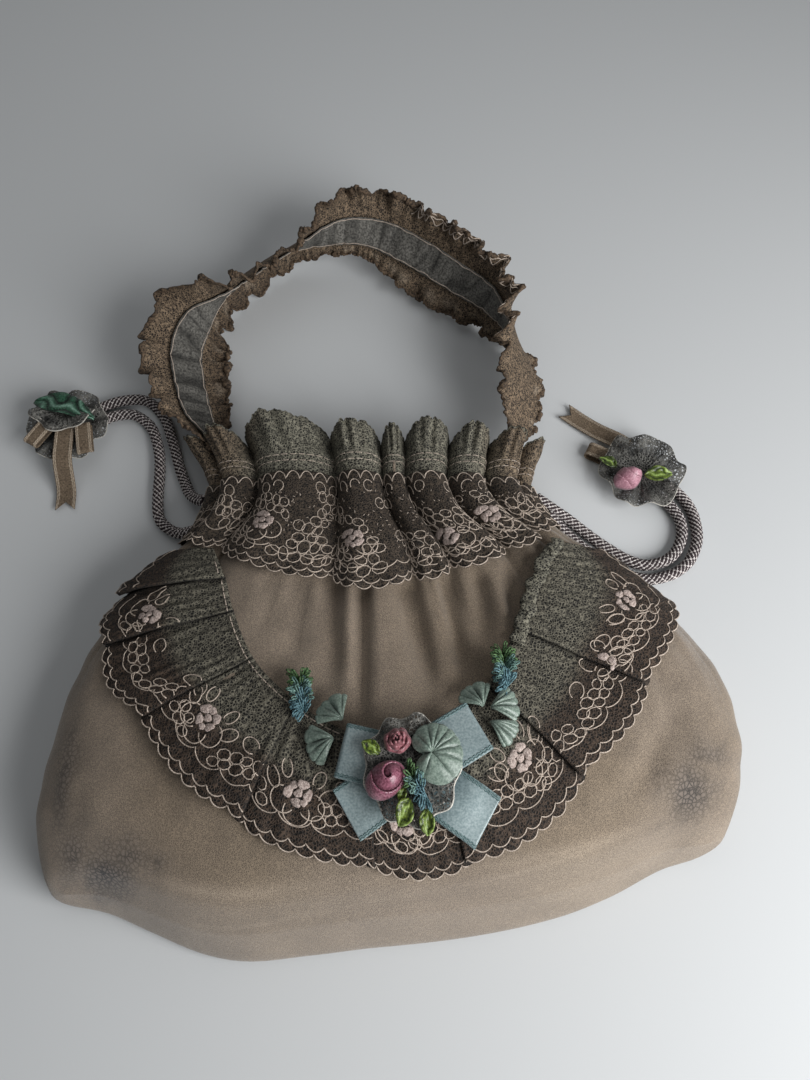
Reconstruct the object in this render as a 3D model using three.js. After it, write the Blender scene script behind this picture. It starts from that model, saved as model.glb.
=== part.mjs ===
// Drawstring pouch of sheer organza with lace, ribbon and satin flowers, lying on its back.
// Millimetres, +Z up. z = 0 is the surface that it lies on, +Y runs from the base to the handle and
// +X is to the right of the decorated front. The origin is the middle of the face that it rests on.

import * as THREE from "three";

// Cloth and clearances
const ORGANZA = 1.2; // wall of the sack
const LACE = 1.0; // wall of every lace and tulle piece
const RIBBON = 1.0; // wall of satin and grosgrain ribbon
const GAP = 0.4; // clearance between layers that touch

// The sack: stations from the base to the heading
const HALF_WIDTH = 128;
const ROUND_FRONT = 2.4; // roundness of the front of a section, 2 is an ellipse
const ROUND_BACK = 4; // the back is flatter
const BASE_Y = -87;
const CASING_LOW_Y = 89; // the drawstring's casing, where sack, heading and frill lie on each other
const CASING_HIGH_Y = 97;
const BODY_ROWS = [-87, -80, -70, -56, -38, -16, 8, 30, 48, 63, 77, CASING_LOW_Y, CASING_HIGH_Y];
const BASE_FOLD_HEIGHT = 22; // fold across the slanting base panel
const BASE_FOLD_PROUD = 1.5;
const BASE_FOLD_REACH = 0.94; // share of the width that the fold runs
const BASE_ROWS = 2;

// y: station; left, right: the two sides; waist: height of the sides; top, back: heights of the front and
// the back; tilt, bow: how far the ends of the section are carried towards +Y; lean: slope of the section
const SECTIONS = [
  { y: -87, left: -123, right: 121, waist: 13, top: 36, back: -1, tilt: 8.5, bow: 26, lean: 0.62 },
  { y: -72, left: -127, right: 126, waist: 15, top: 42, back: -2, tilt: 8.5, bow: 22, lean: 0.45 },
  { y: -48, left: -128, right: 128, waist: 16, top: 46, back: -2, tilt: 7, bow: 12, lean: 0.22 },
  { y: -18, left: -126, right: 129, waist: 16, top: 46, back: -2, tilt: 3, bow: 3, lean: 0.05 },
  { y: 10, left: -121, right: 124, waist: 16, top: 43, back: -2, tilt: 0, bow: 0, lean: 0 },
  { y: 35, left: -109, right: 107, waist: 15, top: 39, back: -1, tilt: 0, bow: 0, lean: 0 },
  { y: 58, left: -91, right: 84, waist: 15, top: 35, back: 3, tilt: 0, bow: 0, lean: 0 },
  { y: 74, left: -78, right: 62, waist: 16, top: 31, back: 6, tilt: 0, bow: 0, lean: 0 },
  { y: 88, left: -75, right: 54, waist: 17, top: 29.5, back: 6.6, tilt: 0, bow: 0, lean: 0 },
  { y: 100, left: -79, right: 56, waist: 17, top: 29.5, back: 6.6, tilt: 0, bow: 0, lean: 0 },
  { y: 112, left: -86, right: 60, waist: 17, top: 30, back: 6.6, tilt: 0, bow: 0, lean: 0 },
  { y: 126, left: -95, right: 65, waist: 17, top: 30.5, back: 6.2, tilt: 0, bow: 0, lean: 0 },
];

// Gathers round the neck. at: where a fold begins, in degrees round the section from its right side
// over the front; depth: how far it stands out; crest: top of the heading there. The back repeats the front.
const FRONT_FOLDS = [
  { at: -18, depth: 3.0, crest: 115.5 },
  { at: 18, depth: 3.4, crest: 115.5 },
  { at: 45, depth: 4.0, crest: 115 },
  { at: 64, depth: 4.2, crest: 116.5 },
  { at: 80, depth: 2.0, crest: 114 },
  { at: 87, depth: 4.4, crest: 115.5 },
  { at: 99, depth: 4.6, crest: 119.5 },
  { at: 133, depth: 3.4, crest: 116 },
  { at: 162, depth: 3.0, crest: 117 },
];
const BACK_FOLD_SHARE = 0.5;
const FOLD_STEPS = 4; // an even number of points along the neck for each fold
const FOLD_ROUNDNESS = 0.7;
const GATHER_START_Y = -10;
const GATHER_FULL_Y = 92;

// Lace heading above the drawstring
const HEADING_NOTCH = 6; // how far the top dips between two folds
const HEADING_ROWS = 2; // rows above the casing

// Lace frill below the drawstring
const FRILL_LOW_Y = 36.5;
const FRILL_SIDE_RISE = 34;
const FRILL_CENTRE = -0.08; // where the frill hangs lowest, as a share of the half width
const FRILL_CURVE = 1.35;
const FRILL_BACK_Y = 68;
const FRILL_FLARE = 1.6;
const FRILL_ROWS = 3; // rows below the casing

// Pleated swag on the front: rows of matching points on its inner and outer edges, from left to right
const SWAG_ROWS = [
  { inX: -70, inY: 55, outX: -91, outY: 57 },
  { inX: -64, inY: 42, outX: -103, outY: 38 },
  { inX: -60, inY: 30, outX: -106, outY: 22 },
  { inX: -56, inY: 20, outX: -98, outY: 3 },
  { inX: -50, inY: 9, outX: -85, outY: -11 },
  { inX: -42, inY: 0, outX: -66, outY: -31 },
  { inX: -31, inY: -9, outX: -44, outY: -46 },
  { inX: -17, inY: -17, outX: -18, outY: -54 },
  { inX: -2, inY: -21, outX: 2, outY: -58 },
  { inX: 13, inY: -19, outX: 23, outY: -56 },
  { inX: 26, inY: -9, outX: 48, outY: -43 },
  { inX: 36, inY: 4, outX: 69, outY: -22 },
  { inX: 43, inY: 18, outX: 85, outY: -2 },
  { inX: 48, inY: 33, outX: 99, outY: 22 },
  { inX: 54, inY: 46, outX: 100, outY: 40 },
  { inX: 61, inY: 58, outX: 85, outY: 56 },
];
const SWAG_PLEAT_EDGES = [0, 0.9, 2.1, 3.8, 5.6, 7.4, 9.2, 10.8, 12.2, 13.4, 14.4, 15]; // rows where pleats begin
const SWAG_PLEAT_RISE = 1.8;
const SWAG_PLEAT_STEPS = [0, 0.33, 0.66, 0.92]; // points along each pleat
const SWAG_BANDS = 3;
const SWAG_LIFT = 0.8; // clearance over the curved front
const SWAG_FOLD_ROOM = 4.4; // the gathers that the swag bridges

// Handle. x, y, z: middle of the band; tilt: degrees that its upper edge leans away from the loop;
// high, low: reach of the lace above and below the middle; swing: how far its lower frill turns into the loop
const HANDLE_ROWS = [
  { x: -76, y: 104, z: 16.5, tilt: 0, high: 6, low: 6, swing: 0 },
  { x: -80.8, y: 112, z: 16.5, tilt: 6, high: 6.2, low: 6.2, swing: 0 },
  { x: -85.5, y: 120, z: 17, tilt: 20, high: 8, low: 8, swing: 0 },
  { x: -90, y: 130, z: 17.5, tilt: 46, high: 16, low: 16, swing: 0 },
  { x: -94, y: 143, z: 18, tilt: 57, high: 20, low: 20, swing: 0 },
  { x: -97.5, y: 160, z: 18.5, tilt: 60, high: 21, low: 21, swing: 0 },
  { x: -95, y: 175, z: 20, tilt: 44, high: 21, low: 20, swing: 2 },
  { x: -87, y: 187, z: 22, tilt: -14, high: 20, low: 19, swing: 7 },
  { x: -77, y: 198.5, z: 23, tilt: -40, high: 19, low: 18, swing: 11 },
  { x: -66, y: 210, z: 23, tilt: -44, high: 18, low: 18, swing: 12 },
  { x: -51, y: 222, z: 23, tilt: -40, high: 18, low: 16, swing: 8 },
  { x: -36, y: 229, z: 23, tilt: -4, high: 19, low: 13, swing: 2 },
  { x: -21, y: 232, z: 22, tilt: 30, high: 21, low: 12, swing: 0 },
  { x: -5, y: 229, z: 21, tilt: 44, high: 21, low: 15, swing: 0 },
  { x: 12, y: 218, z: 21, tilt: 42, high: 21, low: 20, swing: 0 },
  { x: 29, y: 204, z: 21.5, tilt: 32, high: 21, low: 20, swing: 0 },
  { x: 44.5, y: 190, z: 23, tilt: 16, high: 21, low: 20, swing: 0 },
  { x: 54, y: 173, z: 23, tilt: -10, high: 21, low: 19, swing: 0 },
  { x: 57.5, y: 156, z: 22, tilt: -34, high: 20.5, low: 17, swing: 0 },
  { x: 57, y: 139, z: 20, tilt: -40, high: 18, low: 15, swing: 0 },
  { x: 54.5, y: 126, z: 18, tilt: -22, high: 10, low: 10, swing: 0 },
  { x: 51, y: 113.5, z: 17, tilt: -4, high: 7, low: 7, swing: 0 },
  { x: 46, y: 104, z: 16.8, tilt: 0, high: 7.6, low: 7.6, swing: 0 },
];
const HANDLE_REACH = 21; // full reach of the lace to one side
const HANDLE_FLAT = 0.47; // share of the reach that lies flat under the band
const HANDLE_FRILLS = 27; // ruffles along the handle
const HANDLE_FRILL_STEPS = 2; // points along each ruffle
const HANDLE_FRILL_RISE = 4.5; // height of a ruffle where the lace has its full reach
const HANDLE_FRILL_POWER = 4; // how fast the ruffles flatten where the lace is drawn in
const HANDLE_BAND_HALF = 9;
const HANDLE_BAND_LIFT = 0.8; // clearance over the lace where the handle twists
const HANDLE_BAND_INSET = 3; // points of the lace that the band stops short of its ends
const HANDLE_LOOK = 0.4; // rows looked ahead and behind for the handle's direction

// Drawcord: two strands at each side, laid on the surface
const CORD = 5.2;
const CORD_SIDES = 8;
const CORD_STEPS = 14;
const CORD_LEFT_UPPER = [
  [-146, 136, 2.8], [-140, 141, 2.8], [-132, 145, 2.8], [-123, 146.5, 2.8], [-118.5, 145.8, 2.8],
  [-114.5, 143.5, 2.8], [-108.5, 136.5, 2.8], [-106.3, 132.2, 2.8], [-104.5, 127.5, 2.8], [-101, 118, 2.8],
  [-99.6, 113.6, 2.8], [-98, 109, 2.8], [-94.5, 101, 3.6], [-91, 94.5, 6], [-86.4, 90, 10],
  [-82, 87.5, 13.8],
];
const CORD_LEFT_LOWER = [
  [-146, 129, 2.8], [-139, 133.8, 2.8], [-131, 137.6, 2.8], [-123, 138, 2.8], [-116, 133.5, 2.8],
  [-113.4, 130.3, 2.8], [-111.5, 126.5, 2.8], [-108.5, 117.5, 2.8], [-107, 107.5, 2.8], [-106.5, 97.5, 2.8],
  [-105.5, 88, 2.8], [-104.2, 83.8, 2.8], [-101.5, 80.5, 3], [-95.4, 76.5, 4.6], [-89.6, 75, 8.2],
  [-84.5, 75, 11.8],
];
const CORD_RIGHT_UPPER = [
  [60.8, 89.2, 13.2], [67, 86, 10.4], [75, 82, 6.6], [83, 76.5, 3.8], [91, 70.5, 2.8], [99, 65, 2.8],
  [107, 62, 2.8], [115, 63.5, 2.8], [118.6, 65.6, 2.8], [121.5, 68.5, 2.8], [125, 76, 2.8], [125, 84, 2.8],
  [121, 91.5, 2.8], [114.5, 97.5, 2.8], [111.3, 99.9, 2.8], [108, 102, 2.8],
];
const CORD_RIGHT_LOWER = [
  [64.9, 81.5, 13], [69, 79, 9.6], [75, 74.5, 5.6], [82, 69.5, 3.2], [89, 64.2, 2.8], [97.5, 58.4, 2.8],
  [107, 55.4, 2.8], [117.4, 57.4, 2.8], [122.5, 60.2, 2.8], [126.8, 64.2, 2.8], [131.4, 74.2, 2.8],
  [131.4, 85.4, 2.8], [129.8, 90.8, 2.8], [127, 95.6, 2.8], [119.8, 103, 2.8], [112.5, 108.6, 2.8],
];

// Heights of the layers above the sack's front, under and on the corsage
const ABOVE_SWAG = SWAG_LIFT + LACE + SWAG_PLEAT_RISE + 2 * GAP;
const ABOVE_TAILS = ABOVE_SWAG + RIBBON + 2 * GAP;
const BOW_LOOP_RISE = 2.6;
const ABOVE_LOOPS = ABOVE_TAILS + BOW_LOOP_RISE + RIBBON + GAP;
const ABOVE_ROSETTE = ABOVE_LOOPS + LACE + GAP;

// Satin bow round the corsage's middle. turn: direction in degrees from +X
const CORSAGE = { x: 6, y: -30 };
const BOW_WIDTH = 17;
const BOW_START = 4;
const BOW_LOOPS = [
  { name: "bow_loop_left", turn: 167, length: 24 },
  { name: "bow_loop_right", turn: 30, length: 26.5 },
];
const BOW_TAILS = [
  { name: "bow_tail_left", turn: 213, length: 25 },
  { name: "bow_tail_right", turn: -32, length: 29 },
];
const BOW_TAIL_START = 9; // the tails begin far enough out to clear each other
const RIBBON_STEPS = 4;
const LOOP_STEPS = 10;

// Corsage: places on the front, sizes, and steps above the tulle
const ROUND_SHARES = [0, 0.55, 1]; // rings of a gathered round, from its middle to its edge
const ROUND_FLAT = 0.5; // share of a gathered round that stays flat
const ROSETTE = { inner: 2, outer: 16.5, waves: 10, wave: 1.1 };
const YOYO = { x: 14, y: -26.4, inner: 1.2, outer: 7.8, waves: 11, wave: 0.7, step: 2.2 };
const ROSE = { x: 1.2, y: -23.2, width: 8.8, length: 8.8, height: 7, turn: 0, swirl: 0.12, step: 0 };
const ROSEBUD = { x: -2.2, y: -34, width: 13.5, length: 9.5, height: 6.5, turn: 28, swirl: 0.08, step: 0.4 };
const CORSAGE_TUFT = { x: 9.4, y: -38.8, radius: 4.6, lobes: 8, height: 5 };
const CORSAGE_LEAVES = [
  { x: -4.2, y: -26.5, turn: 150, length: 6.5, width: 4.4, step: 0.5 },
  { x: 4, y: -41.2, turn: 235, length: 7, width: 5, step: 2.1 },
  { x: 11, y: -44, turn: 280, length: 6, width: 4.4, step: 2.1 },
  { x: 3.6, y: -35.4, turn: 250, length: 4.4, width: 3, step: 0 },
];
const FLOWER_SIDES = 12;
const FLOWER_BANDS = 6;
const FLOWER_PETALS = 3; // petals that wind round a rolled flower
const LEAF_STEPS = 4;
const LEAF_RISE = 1.1; // how far the sides of a leaf fold up from its middle
const LEAF_TIP = 0.12; // share of the width that is left at the tips

// Sprigs beside the corsage: fan petals with their roots towards it, and tufts of loops
const SPRIG_PETALS = [
  { name: "sprig_left_petal_1", x: -17, y: -14.5, turn: 138, length: 9.5, spread: 74, step: -1 },
  { name: "sprig_left_petal_2", x: -19.6, y: -20.4, turn: 203, length: 10, spread: 70, step: -1.2 },
  { name: "sprig_right_petal_1", x: 30.5, y: -10, turn: 122, length: 9, spread: 70, step: -1 },
  { name: "sprig_right_petal_2", x: 32.8, y: -10.6, turn: 18, length: 10, spread: 58, step: -0.4 },
  { name: "sprig_right_petal_3", x: 32.4, y: -14.8, turn: -28, length: 10, spread: 46, step: -1.2 },
];
const PETAL_BANDS = 2;
const PETAL_PLEATS = 4;
const PETAL_PLEAT_RISE = 0.9;
const PETAL_ROOT = 1.6;
const SPRIG_TUFTS = [
  { name: "sprig_left_loops", x: -31.5, y: -5.4, radius: 7, lobes: 9, height: 6, step: -2 },
  { name: "sprig_right_loops", x: 38.6, y: 2.4, radius: 7, lobes: 9, height: 6, step: -0.2 },
];
const TUFT_BANDS = 4;
const TUFT_LOBE = 0.3; // how deep the loops of a tuft part, as a share of its radius

// Tassels on the cord ends: tulle rosettes that lie on the cords, with ribbon and flowers
const TASSEL_FLOOR = CORD + 0.6;
const TASSEL_ROSETTE = { inner: 2, outer: 18.5, waves: 10, wave: 1.3 };
const ABOVE_TASSEL = TASSEL_FLOOR + LACE + GAP;
const ABOVE_RUFFLES = ABOVE_TASSEL + 2 * TASSEL_ROSETTE.wave;
const TASSEL_LEFT = { x: -151, y: 130 };
const TASSEL_RIGHT = { x: 110, y: 106 };
const TAIL_WIDTH = 8.6;
const LEFT_LEAF = { x: -151, y: 138.5, turn: 10, length: 30, width: 10.5 };
const LEFT_TAIL = { x: -150, y: 127, turn: -86, length: 38, high: 10.6, low: 1.1, from: 14, to: 32 };
const LEFT_LOOPS = [
  { name: "tassel_left_loop_1", x: -157.2, y: 127, turn: 226, length: 12, width: 7 },
  { name: "tassel_left_loop_2", x: -142, y: 126.5, turn: 302, length: 14, width: 7 },
];
const RIGHT_BUD = { x: 102.5, y: 100.5, width: 13.5, length: 10, height: 8, turn: 12, swirl: 0.08, step: 0 };
const RIGHT_LEAVES = [
  { name: "tassel_right_leaf_1", x: 110.3, y: 102.2, turn: 4, length: 12, width: 7, step: -0.9 },
  { name: "tassel_right_leaf_2", x: 98.4, y: 107, turn: 150, length: 8.5, width: 5, step: -1.3 },
];
const RIGHT_TAIL = { x: 106, y: 119, turn: 141, length: 35, high: 4.3, low: 1.1, from: 4, to: 22 };
const RIGHT_LOOP = { name: "tassel_right_loop", x: 97, y: 114.4, turn: 152, length: 11, width: 7 };
const TASSEL_LOOP_RISE = 2.4;
const TABLE_LOOP_FLOOR = 0.6;
const TABLE_LOOP_RISE = 3.7;

// Colours
const COLOURS = {
  organza: { color: 0x786b5e, roughness: 0.75 },
  heading: { color: 0x54544a, roughness: 0.9 },
  brownLace: { color: 0x4b3d32, roughness: 0.9 },
  handleLace: { color: 0x6b5947, roughness: 0.9 },
  handleBand: { color: 0x737575, roughness: 0.85 },
  cord: { color: 0x3a2f31, roughness: 0.8 },
  tulle: { color: 0x4d5252, roughness: 0.9 },
  satin: { color: 0x99b0b8, roughness: 0.4 },
  rose: { color: 0xbf808c, roughness: 0.45 },
  mauve: { color: 0x9e5c70, roughness: 0.45 },
  sage: { color: 0x94ab99, roughness: 0.55 },
  leaf: { color: 0x80a633, roughness: 0.5 },
  darkLeaf: { color: 0x2f5a44, roughness: 0.5 },
  loops: { color: 0x408080, roughness: 0.7 },
  grosgrain: { color: 0x806e59, roughness: 0.8 },
};

const DEGREE = Math.PI / 180;
const FRONT_SEARCH = 30; // halvings when looking up the height of the front
const UP = new THREE.Vector3(0, 0, 1);

function smoothstep(low, high, value) {
  const share = THREE.MathUtils.clamp((value - low) / (high - low), 0, 1);
  return share * share * (3 - 2 * share);
}

// Value of one column of a table at a place along another column, by a smooth curve through the rows
function columnAt(table, key, column, place) {
  const last = table.length - 1;
  let row = 0;
  while (row < last - 1 && table[row + 1][key] < place) row += 1;
  const slope = (index) => {
    const before = table[Math.max(index - 1, 0)];
    const after = table[Math.min(index + 1, last)];
    return (after[column] - before[column]) / (after[key] - before[key]);
  };
  const start = table[row];
  const end = table[row + 1];
  const step = end[key] - start[key];
  const t = THREE.MathUtils.clamp((place - start[key]) / step, 0, 1);
  const rest = 1 - t;
  return (
    rest * rest * (1 + 2 * t) * start[column] +
    t * t * (3 - 2 * t) * end[column] +
    t * rest * rest * step * slope(row) -
    t * t * rest * step * slope(row + 1)
  );
}

function sectionAt(y) {
  const section = {};
  for (const column of Object.keys(SECTIONS[0])) section[column] = columnAt(SECTIONS, "y", column, y);
  section.middle = (section.left + section.right) / 2;
  section.half = (section.right - section.left) / 2;
  return section;
}

// Height of the superellipse for a place across it, from -1 to 1
function arch(across, roundness) {
  const rest = Math.max(1 - Math.abs(across) ** roundness, 0);
  return rest ** (1 / roundness);
}

function signedPower(value, power) {
  return Math.sign(value) * Math.abs(value) ** power;
}

// Point of the section at a station, at an angle from its right side over the front, moved out by lift
function sectionPoint(y, angle, lift) {
  const section = sectionAt(y);
  const front = Math.sin(angle) >= 0;
  const roundness = front ? ROUND_FRONT : ROUND_BACK;
  const across = signedPower(Math.cos(angle), 2 / ROUND_FRONT);
  const up = arch(across, roundness) * (front ? 1 : -1);
  const reach = front ? section.top - section.waist : section.waist - section.back;
  const outX = signedPower(across, roundness - 1) / section.half;
  const outZ = signedPower(up, roundness - 1) / reach;
  const size = Math.hypot(outX, outZ);
  const x = section.middle + section.half * across + (lift * outX) / size;
  const z = Math.max(section.waist + reach * up + (lift * outZ) / size, 0);
  const share = x / HALF_WIDTH;
  return new THREE.Vector3(x, y + section.tilt * share + section.bow * share * share + section.lean * z, z);
}

// The folds round the whole neck, the front's and then the back's mirrored ones
function allFolds() {
  const folds = FRONT_FOLDS.map((fold) => ({ ...fold }));
  for (let row = FRONT_FOLDS.length - 2; row > 0; row -= 1) {
    const { depth, crest } = FRONT_FOLDS[row];
    folds.push({ at: 360 - FRONT_FOLDS[row + 1].at, depth: depth * BACK_FOLD_SHARE, crest });
  }
  return folds;
}

const FOLDS = allFolds();
const NECK_STEPS = FOLDS.length * FOLD_STEPS;

// Angle and fold at one of the points round the neck. Steps run from the right side over the back.
function neckStep(step) {
  const place = (NECK_STEPS - step) % NECK_STEPS;
  const index = Math.floor(place / FOLD_STEPS);
  const share = (place % FOLD_STEPS) / FOLD_STEPS;
  const fold = FOLDS[index];
  const end = index + 1 < FOLDS.length ? FOLDS[index + 1].at : FOLDS[0].at + 360;
  const pipe = Math.sin(Math.PI * share) ** FOLD_ROUNDNESS;
  return { angle: (fold.at + (end - fold.at) * share) * DEGREE, pipe, depth: fold.depth, crest: fold.crest };
}

function gather(y) {
  return smoothstep(GATHER_START_Y, GATHER_FULL_Y, y);
}

// Height of the sack's front over a point, without its folds
function frontHeight(x, y) {
  let low = BASE_Y;
  let high = SECTIONS[SECTIONS.length - 1].y;
  let height = 0;
  const share = x / HALF_WIDTH;
  for (let turn = 0; turn < FRONT_SEARCH; turn += 1) {
    const station = (low + high) / 2;
    const section = sectionAt(station);
    const across = (x - section.middle) / section.half;
    height = section.waist + (section.top - section.waist) * arch(across, ROUND_FRONT);
    const reached = station + section.tilt * share + section.bow * share * share + section.lean * height;
    if (reached < y) low = station;
    else high = station;
  }
  return height;
}

// Point at a height above the sack's front
function frontPoint(x, y, lift) {
  const slopeX = (frontHeight(x + 1, y) - frontHeight(x - 1, y)) / 2;
  const slopeY = (frontHeight(x, y + 1) - frontHeight(x, y - 1)) / 2;
  const out = new THREE.Vector3(-slopeX, -slopeY, 1).normalize();
  return new THREE.Vector3(x, y, frontHeight(x, y)).addScaledVector(out, lift);
}

// Places for small pieces: along, across and above, turned about a point of the front or of the surface
function turned(place, along, across) {
  const turn = (place.turn ?? 0) * DEGREE;
  return {
    x: place.x + along * Math.cos(turn) - across * Math.sin(turn),
    y: place.y + along * Math.sin(turn) + across * Math.cos(turn),
  };
}

function onFront(place) {
  return (along, across, above) => {
    const spot = turned(place, along, across);
    return frontPoint(spot.x, spot.y, above);
  };
}

function onSurface(place) {
  return (along, across, above) => {
    const spot = turned(place, along, across);
    return new THREE.Vector3(spot.x, spot.y, above);
  };
}

function solidFrom(positions, faces) {
  const geometry = new THREE.BufferGeometry();
  geometry.setAttribute("position", new THREE.Float32BufferAttribute(positions, 3));
  geometry.setIndex(faces);
  return geometry;
}

function makeGrid(columns, rows, pointAt) {
  return Array.from({ length: columns }, (_, i) => Array.from({ length: rows }, (_, j) => pointAt(i, j)));
}

// Two skins on a grid of points, at the two offsets along its normals, joined along its open edges.
// A closed grid runs round in its first direction. A sack's first row is a fold where points meet in pairs.
function sheetSolid(grid, low, high, { closed = false, sack = false } = {}) {
  const columns = grid.length;
  const rows = grid[0].length;
  const wrap = (i) => (closed ? (i + columns) % columns : THREE.MathUtils.clamp(i, 0, columns - 1));
  const partner = (i) => wrap(columns - FOLD_STEPS - i);
  const gridNormal = (i, j) => {
    const along = grid[wrap(i + 1)][j].clone().sub(grid[wrap(i - 1)][j]);
    const over = grid[i][Math.min(j + 1, rows - 1)].clone().sub(grid[i][Math.max(j - 1, 0)]);
    return along.cross(over).normalize();
  };
  const normalAt = (i, j) => {
    if (!sack || j > 0) return gridNormal(i, j);
    return gridNormal(i, 1).add(gridNormal(partner(i), 1)).normalize();
  };
  const positions = [];
  for (const offset of [high, low]) {
    for (let i = 0; i < columns; i += 1) {
      for (let j = 0; j < rows; j += 1) {
        positions.push(...grid[i][j].clone().addScaledVector(normalAt(i, j), offset).toArray());
      }
    }
  }
  const upper = (i, j) => wrap(i) * rows + j;
  const lower = (i, j) => columns * rows + upper(i, j);
  const faces = [];
  const quad = (a, b, c, d) => faces.push(a, b, c, a, c, d);
  const spans = closed ? columns : columns - 1;
  const last = rows - 1;
  for (let i = 0; i < spans; i += 1) {
    for (let j = 0; j < last; j += 1) {
      quad(upper(i, j), upper(i + 1, j), upper(i + 1, j + 1), upper(i, j + 1));
      quad(lower(i, j), lower(i, j + 1), lower(i + 1, j + 1), lower(i + 1, j));
    }
    if (!sack) quad(upper(i, 0), lower(i, 0), lower(i + 1, 0), upper(i + 1, 0));
    quad(upper(i, last), upper(i + 1, last), lower(i + 1, last), lower(i, last));
  }
  for (let j = 0; j < last && !closed; j += 1) {
    quad(upper(0, j), upper(0, j + 1), lower(0, j + 1), lower(0, j));
    quad(upper(spans, j), lower(spans, j), lower(spans, j + 1), upper(spans, j + 1));
  }
  return solidFrom(positions, faces);
}

function addPiece(group, name, geometry, colour) {
  const mesh = new THREE.Mesh(geometry, new THREE.MeshStandardMaterial({ ...COLOURS[colour], metalness: 0 }));
  mesh.name = name;
  group.add(mesh);
}

// Outer surface of the gathered sack, moved out by lift
function bodyPoint(step, y, lift = 0) {
  const neck = neckStep(step);
  return sectionPoint(y, neck.angle, neck.depth * neck.pipe * gather(y) + lift);
}

// Point of the base panel, from its middle fold (share 0) to its seam (share 1)
function basePoint(step, share) {
  const seam = bodyPoint(step, BASE_Y);
  const section = sectionAt(BASE_Y);
  const x = section.middle + (seam.x - section.middle) * BASE_FOLD_REACH;
  const along = x / HALF_WIDTH;
  const drop = 1 - ((x - section.middle) / section.half) ** 2;
  const z = section.waist + (BASE_FOLD_HEIGHT - section.waist) * drop;
  const y = BASE_Y + section.tilt * along + section.bow * along * along + section.lean * z - BASE_FOLD_PROUD;
  return new THREE.Vector3(x, y, z).lerp(seam, share);
}

// Sack: it runs from the fold of the base panel over the wall to the open neck
function pouchBody() {
  const grid = makeGrid(NECK_STEPS, BASE_ROWS + BODY_ROWS.length, (i, j) =>
    j < BASE_ROWS ? basePoint(i, j / BASE_ROWS) : bodyPoint(i, BODY_ROWS[j - BASE_ROWS]),
  );
  return sheetSolid(grid, -ORGANZA, 0, { closed: true, sack: true });
}

function neckHeading() {
  const grid = makeGrid(NECK_STEPS, HEADING_ROWS + 2, (i, j) => {
    if (j === 0) return bodyPoint(i, CASING_LOW_Y);
    const { pipe, crest } = neckStep(i);
    const rise = crest - HEADING_NOTCH * (1 - pipe);
    return bodyPoint(i, THREE.MathUtils.lerp(CASING_HIGH_Y, rise, (j - 1) / HEADING_ROWS));
  });
  return sheetSolid(grid, GAP, GAP + LACE, { closed: true });
}

// Station of the frill's scalloped edge below a point of the neck
function frillEdge(angle) {
  const across = signedPower(Math.cos(angle), 2 / ROUND_FRONT);
  const edge = FRILL_LOW_Y + FRILL_SIDE_RISE * Math.abs(across - FRILL_CENTRE) ** FRILL_CURVE;
  return Math.sin(angle) >= 0 ? edge : Math.max(edge, FRILL_BACK_Y);
}

function neckLace() {
  const grid = makeGrid(NECK_STEPS, FRILL_ROWS + 2, (i, j) => {
    if (j > FRILL_ROWS) return bodyPoint(i, CASING_HIGH_Y);
    const share = 1 - j / FRILL_ROWS;
    const { angle, pipe } = neckStep(i);
    const flare = Math.max(Math.sin(angle), 0) * FRILL_FLARE * share * (1 + pipe);
    return bodyPoint(i, THREE.MathUtils.lerp(CASING_LOW_Y, frillEdge(angle), share), flare);
  });
  const low = GAP + LACE + GAP;
  return sheetSolid(grid, low, low + LACE, { closed: true });
}

// Swag: knife pleats that rise along the U and step back down, draped over the front
function laceSwag() {
  const rows = SWAG_ROWS.map((row, index) => ({ ...row, index }));
  const columns = (SWAG_PLEAT_EDGES.length - 1) * SWAG_PLEAT_STEPS.length;
  const grid = makeGrid(columns, SWAG_BANDS + 1, (i, j) => {
    const edge = Math.floor(i / SWAG_PLEAT_STEPS.length);
    const pleat = SWAG_PLEAT_STEPS[i % SWAG_PLEAT_STEPS.length];
    const place = THREE.MathUtils.lerp(SWAG_PLEAT_EDGES[edge], SWAG_PLEAT_EDGES[edge + 1], pleat);
    const share = 1 - j / SWAG_BANDS;
    const blend = (inner, outer) =>
      THREE.MathUtils.lerp(columnAt(rows, "index", inner, place), columnAt(rows, "index", outer, place), share);
    const x = blend("inX", "outX");
    const y = blend("inY", "outY");
    const lift = SWAG_LIFT + LACE / 2 + SWAG_PLEAT_RISE * pleat + SWAG_FOLD_ROOM * gather(y);
    return frontPoint(x, y, lift);
  });
  return sheetSolid(grid, -LACE / 2, LACE / 2);
}

// Frame of the handle at a place along it: middle, direction across the band and direction into the loop
function handleFrame(rows, place) {
  const at = (spot) => new THREE.Vector3(...["x", "y", "z"].map((key) => columnAt(rows, "index", key, spot)));
  const last = rows.length - 1;
  const ahead = at(Math.min(place + HANDLE_LOOK, last));
  const behind = at(Math.max(place - HANDLE_LOOK, 0));
  const along = ahead.sub(behind).setZ(0).normalize();
  const away = new THREE.Vector3(-along.y, along.x, 0);
  const tilt = columnAt(rows, "index", "tilt", place) * DEGREE;
  const across = UP.clone().multiplyScalar(Math.cos(tilt)).addScaledVector(away, Math.sin(tilt));
  return { middle: at(place), across, inward: along.clone().cross(across) };
}

function handlePlace(point) {
  return (point / (HANDLE_FRILLS * HANDLE_FRILL_STEPS)) * (HANDLE_ROWS.length - 1);
}

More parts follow.
